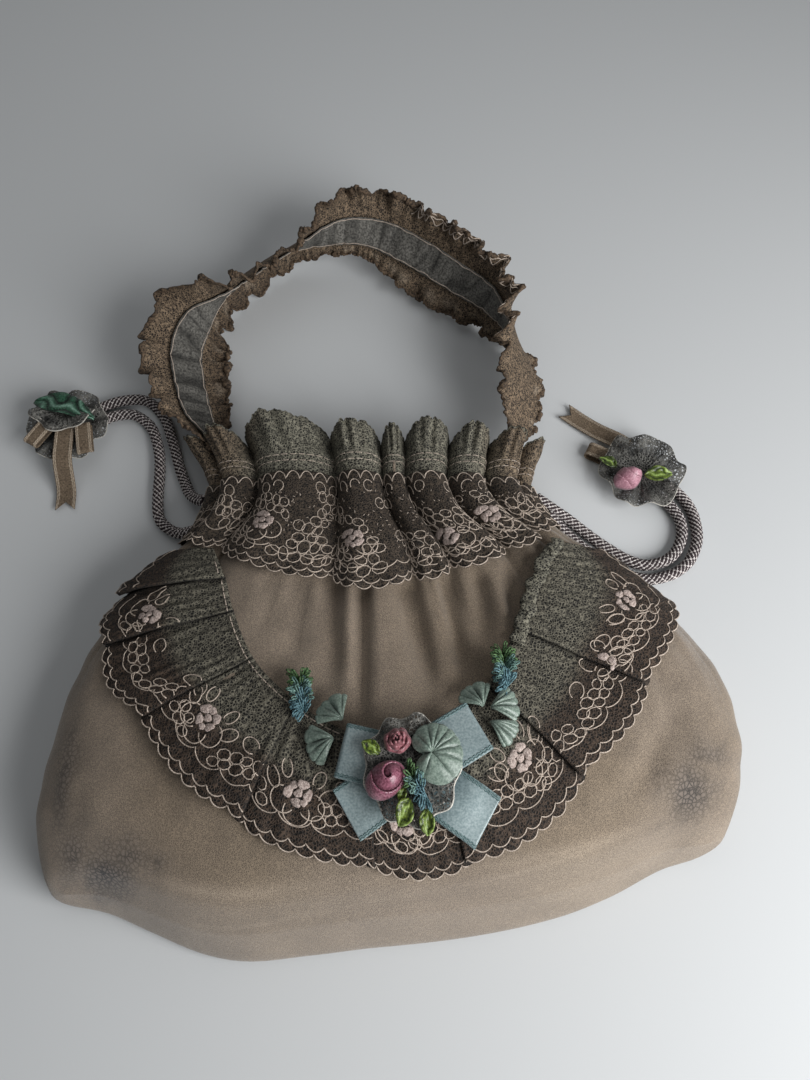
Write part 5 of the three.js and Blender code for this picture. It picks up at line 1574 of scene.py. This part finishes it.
def outline_threads(name, grid, closed, radius):
    """Pale threads along the outer rows of a round of tulle."""
    heap = Heap()
    normals = grid_normals(grid, closed)
    for row in ROUND_OUTLINES:
        points, out = grid[:, row], normals[:, row]
        if closed:
            points, out = np.vstack([points, points[:1]]), np.vstack([out, out[:1]])
        heap.add(*tube(points + out * THREAD_LIFT, out, radius, THREAD_FLATNESS * radius))
    return heap.make(name + "_threads", "tulle", [TULLE_THREAD])


def tulle_round(name, grid, outline=ROUND_THREAD):
    paint = painted(grid, smoothstep(*TULLE_DENSE, np.linspace(0, 1, ROUND_ROWS)))
    piece = sheet(name, grid, LACE_WALL, TULLE, True, paint)
    threads = outline_threads(name, grid, True, outline)
    return piece, threads


# Flowers, leaves and loops of satin, ribbon and thread
ROSE_TURNS = 3.2
ROSE_GRID = (220, 11)
ROSE_CURL_START = 0.45
ROSE_OVERLAP = 0.741
ROSE_CORE = 0.02
ROSE_SPREAD = 0.76
ROSE_TOP = (1.0, 0.6)
ROSE_TOP_AT = 0.55
ROSE_CURL_FALL = 0.30
# Crinkles of the rose: share, waves in a turn and shift
ROSE_CRINKLES = ((0.10, 2.3, 1), (0.06, 5.7, 0))
BUD_GRID = (130, 32)
BUD_EYE = (0.30, 0.12)
BUD_WRAPS = 1.75
BUD_WRAP_WIDTH = 0.8
BUD_WRAP_HEIGHTS = (0.66, 0.34)
BUD_ROUNDNESS = 2.4
# Painted shade in the groove under the edge of each wrap
BUD_SHADE = 0.9
BUD_SHADE_PART = (0.55, 0.97)
YOYO_GRID = (220, 20)
LEAF_GRID = (40, 23)
LEAF_CRUMPLE = 0.0004
LEAF_RISE = 0.0014
LEAF_RIPPLE = 0.0002
LEAF_RIPPLES = 9
LEAF_TIP = 0.14
LEAF_SEED = 51
# Painted shade in the low folds of a leaf, and painted highlights on its ridges
LEAF_SHADE_PART = (0.7, 0.25)
LEAF_HIGHLIGHT = {"share": 0.8, "part": (0.86, 1), "from": (0, 0.3)}
PETAL_GRID = (81, 18)
# Creases of the gathered satin: places from -1 to 1 across a petal or round the yo-yo, and their depths
PETAL_CREASES = table("at deep", [(-0.62, 0.7), (-0.16, 1.1), (0.10, 0.6), (0.52, 1.0)])
PETAL_CREASE_WIDTH = 0.075
PETAL_CREASE_DEPTH = 0.0024
PETAL_PUFF = 0.0030
PETAL_SPREAD = 0.76
CREASE_LEVEL = 0.75
YOYO_CREASES = table("at deep", [
    (-1.0, 1.5), (-0.72, 0.5), (-0.34, 0.7), (-0.12, 0.8), (0.04, 1.0), (0.17, 0.9), (0.29, 1.1),
    (0.42, 0.8), (0.56, 1.0), (0.74, 0.7), (1.0, 1.5),
])
YOYO_CREASE_WIDTH = 0.026
YOYO_CREASE_DEPTH = 0.0017
YOYO_PUFF = 0.0024
YOYO_PINCH = {"width": 0.10, "reach": 0.42, "height": 0.9, "shift": 0.18}
CREASE_SHADE = {"level": 1.15, "fade": 0.7, "part": (0.3, 1)}
LOOP_STEPS = 16
LOOP_THREAD = 0.00027
LOOP_HALF_WIDTH = 0.0006
LOOP_SEAT = 0.0006
LOOP_ROOT = 0.0004
LOOP_ROW = 0.85
LOOP_SPANS = {"turn": (0.3, 1.9), "reach": (0.34, 0.60), "lift": (0.2, 0.85), "shade": (-0.25, 0.25)}
LOOP_SHADES = (0.3, -0.35)


def crease_relief(creases, place, width):
    """Height between the creases of gathered cloth: 1 on the puffs, and lower towards each crease."""
    relief = np.ones_like(place)
    for at, deep in rows_of(creases):
        relief = relief - deep * np.exp(-np.abs(place - at) / width)
    return relief


def crease_paint(grid, relief, share):
    """Red for painted shade in the creases of gathered cloth, most near the place where it is pinched."""
    fade = 1 - CREASE_SHADE["fade"] * smoothstep(*CREASE_SHADE["part"], share)
    return painted(grid, np.clip(CREASE_SHADE["level"] - relief, 0, 1) * fade)


def rolled_rose(name, place, width, length, height, seat):
    """Narrow strip of satin rolled up, its crinkled upper edge curled out over the next turn."""
    run = np.linspace(0, 1, ROSE_GRID[0])[:, None]
    up = np.linspace(0, 1, ROSE_GRID[1])[None, :]
    angle = TURN * ROSE_TURNS * run
    curl = np.clip((up - ROSE_CURL_START) / (1 - ROSE_CURL_START), 0, 1)
    crinkle = sum(share * np.cos(waves * angle + shift) for share, waves, shift in ROSE_CRINKLES)
    over = ROSE_OVERLAP / ROSE_TURNS * curl**1.3 * np.minimum(run * ROSE_TURNS + 0.3, 1)
    radius = (ROSE_CORE + ROSE_SPREAD * run) * (1 + 0.5 * crinkle) + over * (1 + crinkle)
    top = height * mix(*ROSE_TOP, run**1.3) * (1 + crinkle) - RIBBON_WALL
    above = seat + RIBBON_WALL + top * (np.minimum(up / ROSE_TOP_AT, 1) ** 0.7 - ROSE_CURL_FALL * curl**2)
    grid = place(radius * np.cos(angle) * width / 2, radius * np.sin(angle) * length / 2, above)
    return sheet(name, grid, RIBBON_WALL, ROSE)


def rosebud(name, place, width, length, height, seat, material, slot, eye=BUD_EYE, lens=0.0):
    """Bud of wide satin petals, each wrapped over the edge of the one inside it, from its eye outwards."""
    angle = np.linspace(0, TURN, BUD_GRID[0], endpoint=False)[:, None]
    share = np.linspace(0, 1, BUD_GRID[1])[None, :]
    x, y = share * np.cos(angle), share * np.sin(angle)
    out_x, out_y = x - eye[0], BUD_WRAP_WIDTH * (y - eye[1])
    wrap = (BUD_WRAPS * np.hypot(out_x, out_y) + np.arctan2(out_y, out_x) / TURN) % 1
    dome = np.sqrt(np.maximum(1 - share**BUD_ROUNDNESS, 0))
    floor, step = BUD_WRAP_HEIGHTS
    above = seat + RIBBON_WALL + (height - RIBBON_WALL) * dome * (floor + step * (1 - wrap) ** 0.8)
    grid = place(x * width / 2, y * (1 - lens * x**2) * length / 2, above)
    # Painted shade in the groove under the edge of each wrap
    paint = painted(grid, BUD_SHADE * smoothstep(*BUD_SHADE_PART, wrap) * dome)
    return sheet(name, grid, RIBBON_WALL, material, True, paint)


def yoyo(name, place, outer, seat):
    """Gathered round of satin, pinched at one side, with creases that run out from the pinch."""
    side = np.linspace(-1, 1, YOYO_GRID[0], endpoint=False)[:, None]
    share = np.linspace(0.02, 1, YOYO_GRID[1])[None, :]
    angle = np.pi * side
    relief = crease_relief(YOYO_CREASES, side, YOYO_CREASE_WIDTH)
    pinch = bell(np.abs(side), 1, YOYO_PINCH["width"])
    edge = 1.0 - YOYO_PINCH["reach"] * pinch + 0.05 * relief + 0.05 * np.cos(2 * angle + 2.4)
    radius = outer * share * edge
    puff = np.sin(np.pi * share**0.55) * (1 - YOYO_PINCH["height"] * pinch)
    puff = puff * (1 + 0.25 * np.cos(angle - 2.2))
    crease = YOYO_CREASE_DEPTH * (relief - CREASE_LEVEL) * np.sin(np.pi * share**0.6) * (1.1 - 0.6 * share)
    fall = YOYO_PUFF * puff + crease
    x = radius * np.cos(angle) - YOYO_PINCH["shift"] * outer * (1 - share)
    grid = place(x, radius * np.sin(angle), seat + RIBBON_ROOM + np.maximum(fall, 0))
    return sheet(name, grid, RIBBON_WALL, SAGE, True, crease_paint(grid, relief, share))


def fan_petal(name, place, length, spread, seat):
    """Gathered petal of satin: a puffed fan with uneven creases that run to its pinched end."""
    side = np.linspace(1, -1, PETAL_GRID[0])[:, None]
    share = np.linspace(0.03, 1, PETAL_GRID[1])[None, :]
    angle = math.radians(spread * PETAL_SPREAD) * (side + 0.12 * np.sin(4 * side + 90 * length))
    mirror = 1 if spread % 4 else -1
    relief = crease_relief(PETAL_CREASES, side * mirror + 0.10 * np.sin(700 * length), PETAL_CREASE_WIDTH)
    radius = length * 1.02 * share * (0.90 + 0.10 * relief) * (1 - 0.12 * side**4)
    puff = np.sin(np.pi * share**0.55) * (1 - 0.55 * side**2)
    crease = PETAL_CREASE_DEPTH * (relief - CREASE_LEVEL) * np.sin(np.pi * share**0.7) * (1.2 - 0.5 * share)
    fall = PETAL_PUFF * puff + crease
    grid = place(radius * np.cos(angle), radius * np.sin(angle), seat + RIBBON_ROOM + np.maximum(fall, 0))
    return sheet(name, grid, RIBBON_WALL, SAGE, paint=crease_paint(grid, relief, share))


def leaf(name, place, length, width, seat, material, slot, crumple=LEAF_CRUMPLE, bend=0.0, shade=0.0):
    """Leaf of folded ribbon with a vein along its middle, and crumples, with painted shade in its low folds
    and painted highlights on its ridges.
    """
    share = np.linspace(0, 1, LEAF_GRID[0])[:, None]
    side = np.linspace(-1, 1, LEAF_GRID[1])[None, :]
    swell = np.sin(np.pi * share)
    half = width / 2 * np.maximum(np.sin(np.pi * share**0.85) ** 0.7, LEAF_TIP)
    twist = 1000 * crumple * uneven(length * share, half * side, length / 2.5, LEAF_SEED)
    fold = np.abs(np.sin(2.4 * side + 1.7 * twist + 2.6 * share + 0.6)) ** 0.7
    rise = LEAF_RISE * np.abs(side) ** 0.9 * swell + LEAF_RIPPLE * np.cos(LEAF_RIPPLES * side)
    rise = rise + 1.8 * crumple * fold * swell**0.5
    grid = place(length * share, half * side + bend * swell, seat + RIBBON_ROOM / 2 + rise)
    # Painted shade in the low folds and, by shade, over the whole leaf; painted highlights on the ridges
    dark = np.maximum(smoothstep(*LEAF_SHADE_PART, fold), shade)
    pale = LEAF_HIGHLIGHT["share"] * smoothstep(*LEAF_HIGHLIGHT["part"], fold) * smoothstep(*LEAF_HIGHLIGHT["from"], share)
    return sheet(name, grid, RIBBON_WALL, material, paint=painted(grid, dark, pale))


def loop_tuft(name, x, y, radius, height, seat, count, lean, seed):
    """Row of small loops of thread along a leaning line, green at its head and blue at its foot."""
    random = np.random.default_rng(seed)
    heap = Heap()
    place = on_front(x, y)
    t = np.linspace(0, TURN, LOOP_STEPS)
    stretch = 0.5 - 0.5 * np.cos(t)
    for step in range(count):
        spot = mix(-1, 1, (step + random.uniform(0, 1)) / count)
        root_x, root_y = rotated(spot * radius * LOOP_ROW, 0, lean)
        turn = random.uniform(*LOOP_SPANS["turn"])
        angle = lean + (turn if step % 2 else -turn) + (0 if spot > -0.3 else 0.9)
        reach = radius * random.uniform(*LOOP_SPANS["reach"])
        lift = height * random.uniform(*LOOP_SPANS["lift"]) * (1 - 0.4 * spot**2)
        width = LOOP_HALF_WIDTH * np.sin(t) * (0.35 + 0.65 * stretch)
        along, across = rotated(LOOP_ROOT + reach * stretch, width, angle)
        above = seat + LOOP_SEAT + lift * np.sin(0.62 * np.pi * stretch)
        points = place(root_x + along, root_y + across, above)
        normals = np.tile(np.array([-math.sin(angle), math.cos(angle), 0.4]), (len(t), 1))
        shade = spot + random.uniform(*LOOP_SPANS["shade"])
        colour = sum(shade <= limit for limit in LOOP_SHADES)
        heap.add(*tube(points, normals, LOOP_THREAD, LOOP_THREAD), colour)
    return heap.make(name, "loops", [LOOP_GREEN, LOOP_TEAL, LOOP_BLUE], (name,))


# Bow, corsage and sprigs, in layers over the front
ABOVE_SWAG = 0.0044
ABOVE_TAILS = 0.0062
ABOVE_LOOPS = 0.0102
ABOVE_ROSETTE = 0.0116
CORSAGE = (0.006, -0.030)
BOW_WIDTH = 0.017
BOW_LOOP_START = 0.004
BOW_LOOP_RISE = 0.0026
BOW_LOOP_SWELL = 0.0006
BOW_LOOP_SHADE = {"share": 0.8, "part": (0.68, 0.92)}
BOW_BEND_SHADE = {"share": 0.45, "at": (0.52, 0.07)}
BOW_LOOPS = (("bow_loop_left", 167, 0.024), ("bow_loop_right", 30, 0.0265))
BOW_TAIL_START = 0.009
BOW_TAIL_CURL = 0.0006
BOW_TAIL_SHADE = {"share": 0.75, "part": (0.75, 0.1)}
BOW_TAILS = (("bow_tail_left", 213, 0.025), ("bow_tail_right", -32, 0.029))
# Rounds: inner and outer radius, waves and their height
ROSETTE = (0.0004, 0.0150, 9, 0.0011)
ROSETTE_SEAT = ABOVE_LOOPS + 0.0006
ROSETTE_THREAD = 0.0004
# Flowers: x, y and turn, then width, length and height
ROSE_PLACE = (0.0012, -0.0232, 0)
ROSE_SIZE = (0.0088, 0.0088, 0.007)
ROSEBUD_PLACE = (-0.0022, -0.034, 28)
ROSEBUD_SIZE = (0.0135, 0.0095, 0.0065)
ROSEBUD_SEAT = ABOVE_ROSETTE + 0.0004
YOYO_PLACE = (0.014, -0.0264, 8)
YOYO_RADIUS = 0.0082
YOYO_SEAT = ABOVE_ROSETTE + 0.0010
CORSAGE_LEAVES = (
    # x, y, turn, length, width, step
    (-0.0042, -0.0265, 150, 0.0065, 0.0044, 0.0005), (0.0052, -0.0388, 242, 0.007, 0.0056, 0.0021),
    (0.0102, -0.0410, 275, 0.006, 0.0048, 0.0021), (0.0036, -0.0354, 250, 0.0044, 0.003, 0.0),
)
SPRIG_PETALS = (
    # name, x, y, turn, length, spread, step
    ("sprig_left_petal_1", -0.017, -0.0145, 138, 0.0095, 74, -0.0010),
    ("sprig_left_petal_2", -0.0196, -0.0204, 203, 0.010, 70, -0.0012),
    ("sprig_right_petal_1", 0.0305, -0.010, 122, 0.009, 70, -0.0010),
    ("sprig_right_petal_2", 0.0328, -0.0106, 18, 0.010, 58, -0.0004),
    ("sprig_right_petal_3", 0.0324, -0.0148, -28, 0.010, 46, -0.0012),
)
# Tufts of loops: name, x, y, radius, height, seat, loops, lean
CORSAGE_TUFT = ("corsage_loops", 0.0078, -0.0350, 0.0058, 0.005, ABOVE_ROSETTE, 56, 2.3)
SPRIG_TUFTS = (
    ("sprig_left_loops", -0.0315, -0.0050, 0.0078, 0.006, ABOVE_SWAG - 0.0020, 92, 1.75),
    ("sprig_right_loops", 0.0386, 0.0028, 0.0078, 0.006, ABOVE_SWAG - 0.0002, 92, 1.62),
)


def bow():
    level = lambda along: ABOVE_SWAG
    for name, turn, length in BOW_TAILS:
        grid = tail_grid(on_front(*CORSAGE, turn), BOW_TAIL_START, length, BOW_WIDTH, level, BOW_TAIL_CURL)
        share = np.linspace(0, 1, len(grid))
        # Painted shade on a tail near its root, under the loops
        shade = BOW_TAIL_SHADE["share"] * smoothstep(*BOW_TAIL_SHADE["part"], share)
        piece, edges = ribbon(name, grid, SATIN, SELVEDGE, "satin", shade=shade)
    for name, turn, length in BOW_LOOPS:
        place = on_front(*CORSAGE, turn)
        grid = loop_grid(place, BOW_LOOP_START, length, BOW_WIDTH, ABOVE_TAILS, BOW_LOOP_RISE, BOW_LOOP_SWELL)
        share = np.linspace(0, 1, len(grid))
        # Painted shade on a loop near the rosette and along its bend
        shade = BOW_LOOP_SHADE["share"] * smoothstep(*BOW_LOOP_SHADE["part"], share)
        shade = shade + BOW_BEND_SHADE["share"] * bell(share, *BOW_BEND_SHADE["at"])
        piece, edges = ribbon(name, grid, SATIN, SELVEDGE, "satin", outer=-1, shade=shade)


def corsage():
    small = [
        rolled_rose("corsage_rose", on_front(*ROSE_PLACE), *ROSE_SIZE, ABOVE_ROSETTE),
        rosebud("corsage_rosebud", on_front(*ROSEBUD_PLACE), *ROSEBUD_SIZE, ROSEBUD_SEAT, MAUVE, "mauve"),
        yoyo("corsage_yoyo", on_front(*YOYO_PLACE), YOYO_RADIUS, YOYO_SEAT),
    ]
    for number, (x, y, turn, length, width, step) in enumerate(CORSAGE_LEAVES, 1):
        name, place = f"corsage_leaf_{number}", on_front(x, y, turn)
        small.append(leaf(name, place, length, width, ABOVE_ROSETTE + step, LEAF, "leaf"))
    small.append(loop_tuft(*CORSAGE_TUFT, seed=0))
    grid = round_grid(on_front(*CORSAGE), *ROSETTE, ROSETTE_SEAT, lobes=9, lobe=0.05)
    tulle_round("corsage_rosette", grid, ROSETTE_THREAD)


def sprigs():
    """Fan petals and tufts of loops that are sewn to the swag."""
    pieces = []
    for name, x, y, turn, length, spread, step in SPRIG_PETALS:
        pieces.append(fan_petal(name, on_front(x, y, turn), length, spread, ABOVE_SWAG + step))
    for seed, tuft in enumerate(SPRIG_TUFTS, 1):
        pieces.append(loop_tuft(*tuft, seed))
    return pieces


# Tassels on the cord ends
TASSEL_FLOOR = CORD + 0.0006
ABOVE_TASSEL = 0.0072
ABOVE_RUFFLES = 0.0098
TASSEL_ROUND = (0.0004, 0.0180, 9, 0.0018)
TASSEL_LOBES = 6
TASSEL_LEFT = (-0.151, 0.130)
TASSEL_RIGHT = (0.110, 0.106)
LEFT_RUFFLE = (-0.1515, 0.1380)
LEFT_RUFFLE_ROUND = (0.002, 0.0150, 7, 0.0010)
LEFT_RUFFLE_SHAPE = {"lobes": 7, "lobe": 0.07, "sweep": 2.6, "start": 3.42}
LEFT_RUFFLE_RISE = 0.0040
LEFT_RUFFLE_FREE = (0.003, 0.011)
LEFT_RUFFLE_OUTLINE = 0.0003
# Leaves and bud: x, y and turn, then length and width, and for the bud width, length and height
LEFT_LEAF_PLACE = (-0.1655, 0.1385, -17)
LEFT_LEAF_SIZE = (0.030, 0.0105)
LEFT_LEAF_SEAT = ABOVE_RUFFLES + 0.0024
LEFT_LEAF_CRUMPLE = 0.0009
LEFT_LEAF_BEND = 0.0024
RIGHT_BUD_PLACE = (0.1025, 0.1010, 22)
RIGHT_BUD_SIZE = (0.0142, 0.010, 0.008)
RIGHT_BUD_EYE = (0.8, 0.3)
RIGHT_BUD_LENS = 0.4
RIGHT_LEAVES = (
    # name, x, y, turn, length, width, step, shade
    ("tassel_right_leaf_1", 0.1103, 0.1022, 4, 0.012, 0.0074, -0.0009, 0.0),
    ("tassel_right_leaf_2", 0.0984, 0.107, 150, 0.0085, 0.005, -0.0013, 0.75),
)
# Grosgrain ribbon: tails that fall from a high to a low seat, and loops
RIB = 0.0011
TAIL_WIDTH = 0.0086
TAIL_CURL = 0.0003
TAIL_NOTCH = 0.004
TAIL_LOW = 0.0011
LEFT_TAIL = {"place": (-0.150, 0.127, -86), "length": 0.038, "high": 0.0106, "fall": (0.014, 0.032)}
RIGHT_TAIL = {"place": (0.106, 0.119, 141), "length": 0.035, "high": 0.0043, "fall": (0.004, 0.022)}
LOOP_WIDTH = 0.007
LOOP_SWELL = 0.0003
TASSEL_LOOPS = {
    # side: name, place, length, seat and rise of each loop
    "left": (
        ("tassel_left_loop_1", (-0.1580, 0.1275, 240), 0.0125, ABOVE_RUFFLES, 0.0024),
        ("tassel_left_loop_2", (-0.1418, 0.127, 283), 0.015, ABOVE_RUFFLES, 0.0024)),
    "right": (("tassel_right_loop", (0.097, 0.1144, 152), 0.011, 0.0006, 0.0037),),
}


def grosgrain(side, tail):
    """Tail and loops of ribbon of a tassel."""
    height = lambda along: mix(tail["high"], TAIL_LOW, smoothstep(*tail["fall"], along))
    place = on_surface(*tail["place"])
    grid = tail_grid(place, 0.0, tail["length"], TAIL_WIDTH, height, TAIL_CURL, TAIL_NOTCH)
    pieces = [*ribbon(f"tassel_{side}_tail", grid, GROSGRAIN, GROSGRAIN_EDGE, "grosgrain", RIB)]
    for name, place, length, seat, rise in TASSEL_LOOPS[side]:
        grid = loop_grid(on_surface(*place), 0.0, length, LOOP_WIDTH, seat, rise, LOOP_SWELL)
        pieces.extend(ribbon(name, grid, GROSGRAIN, GROSGRAIN_EDGE, "grosgrain", RIB, outer=-1))
    return pieces


def left_ruffle():
    """Upper ruffle of the left tassel, over the ends of its ribbons."""
    def place(along, across, above):
        rise = LEFT_RUFFLE_RISE * smoothstep(*LEFT_RUFFLE_FREE, np.hypot(along, across))
        return on_surface(*LEFT_RUFFLE)(along, across, above + rise)
    grid = round_grid(place, *LEFT_RUFFLE_ROUND, ABOVE_RUFFLES - LACE_ROOM, **LEFT_RUFFLE_SHAPE)
    piece = sheet("tassel_left_ruffle", grid, LACE_WALL, TULLE, nodes=())
    return piece, outline_threads("tassel_left_ruffle", grid, False, LEFT_RUFFLE_OUTLINE)


def left_tassel():
    grid = round_grid(on_surface(*TASSEL_LEFT), *TASSEL_ROUND, TASSEL_FLOOR, TASSEL_LOBES)
    pieces = [*tulle_round("tassel_left_rosette", grid), *left_ruffle()]
    pieces.append(leaf(
        "tassel_left_leaf", on_surface(*LEFT_LEAF_PLACE), *LEFT_LEAF_SIZE, LEFT_LEAF_SEAT,
        DARK_LEAF, "dark_leaf", LEFT_LEAF_CRUMPLE, LEFT_LEAF_BEND))
    return pieces + grosgrain("left", LEFT_TAIL)


def right_tassel():
    grid = round_grid(on_surface(*TASSEL_RIGHT), *TASSEL_ROUND, TASSEL_FLOOR, TASSEL_LOBES)
    small = [rosebud(
        "tassel_right_bud", on_surface(*RIGHT_BUD_PLACE), *RIGHT_BUD_SIZE, ABOVE_TASSEL, PINK, "rose",
        RIGHT_BUD_EYE, RIGHT_BUD_LENS)]
    for name, x, y, turn, length, width, step, shade in RIGHT_LEAVES:
        place = on_surface(x, y, turn)
        small.append(leaf(name, place, length, width, ABOVE_RUFFLES + step, LEAF, "leaf", shade=shade))
    return [*tulle_round("tassel_right_rosette", grid), *small, *grosgrain("right", RIGHT_TAIL)]


# Floor, light and camera
FLOOR_SIZE = 4
FLOOR_COLOUR = (0.83, 0.84, 0.845)
FLOOR_ROUGHNESS = 0.8
LAMPS = (
    # name, place, size, power
    ("key", (0.50, -0.28, 0.36), 0.5, 6.2),
    ("fill", (-0.10, 0.40, 0.70), 0.8, 0.7),
)
SKY_COLOUR = (0.90, 0.91, 0.92)
SKY_STRENGTH = 0.15
CAMERA_PLACE = (0.004, -0.070, 0.326)
CAMERA_TILT = 24
CAMERA_SENSOR = 36
CAMERA_LENS = CAMERA_SENSOR * 811 / 1080
CAMERA_CLIP = 0.01


def studio():
    bpy.ops.mesh.primitive_plane_add(size=FLOOR_SIZE)
    floor = bpy.context.object
    floor.name = "floor"
    material = bpy.data.materials.new("floor")
    material.use_nodes = True
    shader = material.node_tree.nodes["Principled BSDF"]
    shader.inputs["Base Color"].default_value = srgb(*FLOOR_COLOUR)
    shader.inputs["Roughness"].default_value = FLOOR_ROUGHNESS
    floor.data.materials.append(material)
    scene = bpy.context.scene
    for name, (x, y, z), size, power in LAMPS:
        data = bpy.data.lights.new(name, "AREA")
        data.size = size
        data.energy = power
        lamp = bpy.data.objects.new(name, data)
        lamp.location = (x, y, z)
        lamp.rotation_euler = (math.acos(z / math.hypot(x, y, z)), 0, math.atan2(y, x) + math.pi / 2)
        scene.collection.objects.link(lamp)
    scene.world = bpy.data.worlds.new("studio")
    scene.world.use_nodes = True
    sky = scene.world.node_tree.nodes["Background"]
    sky.inputs["Color"].default_value = srgb(*SKY_COLOUR)
    sky.inputs["Strength"].default_value = SKY_STRENGTH
    data = bpy.data.cameras.new("camera")
    data.sensor_width = CAMERA_SENSOR
    data.lens = CAMERA_LENS
    data.clip_start = CAMERA_CLIP
    camera = bpy.data.objects.new("camera", data)
    camera.location = CAMERA_PLACE
    camera.rotation_euler = (math.radians(CAMERA_TILT), 0, 0)
    scene.collection.objects.link(camera)
    scene.camera = camera
    scene.view_settings.view_transform = "Standard"


pouch_body()
neck_heading()
neck_lace()
lace_swag()
handle_lace()
handle_band()
bow()
corsage()
tassels = {"left": left_tassel(), "right": right_tassel()}
for side, pieces in tassels.items():
    braided_cord(f"drawcord_{side}_upper")
    braided_cord(f"drawcord_{side}_lower")
studio()
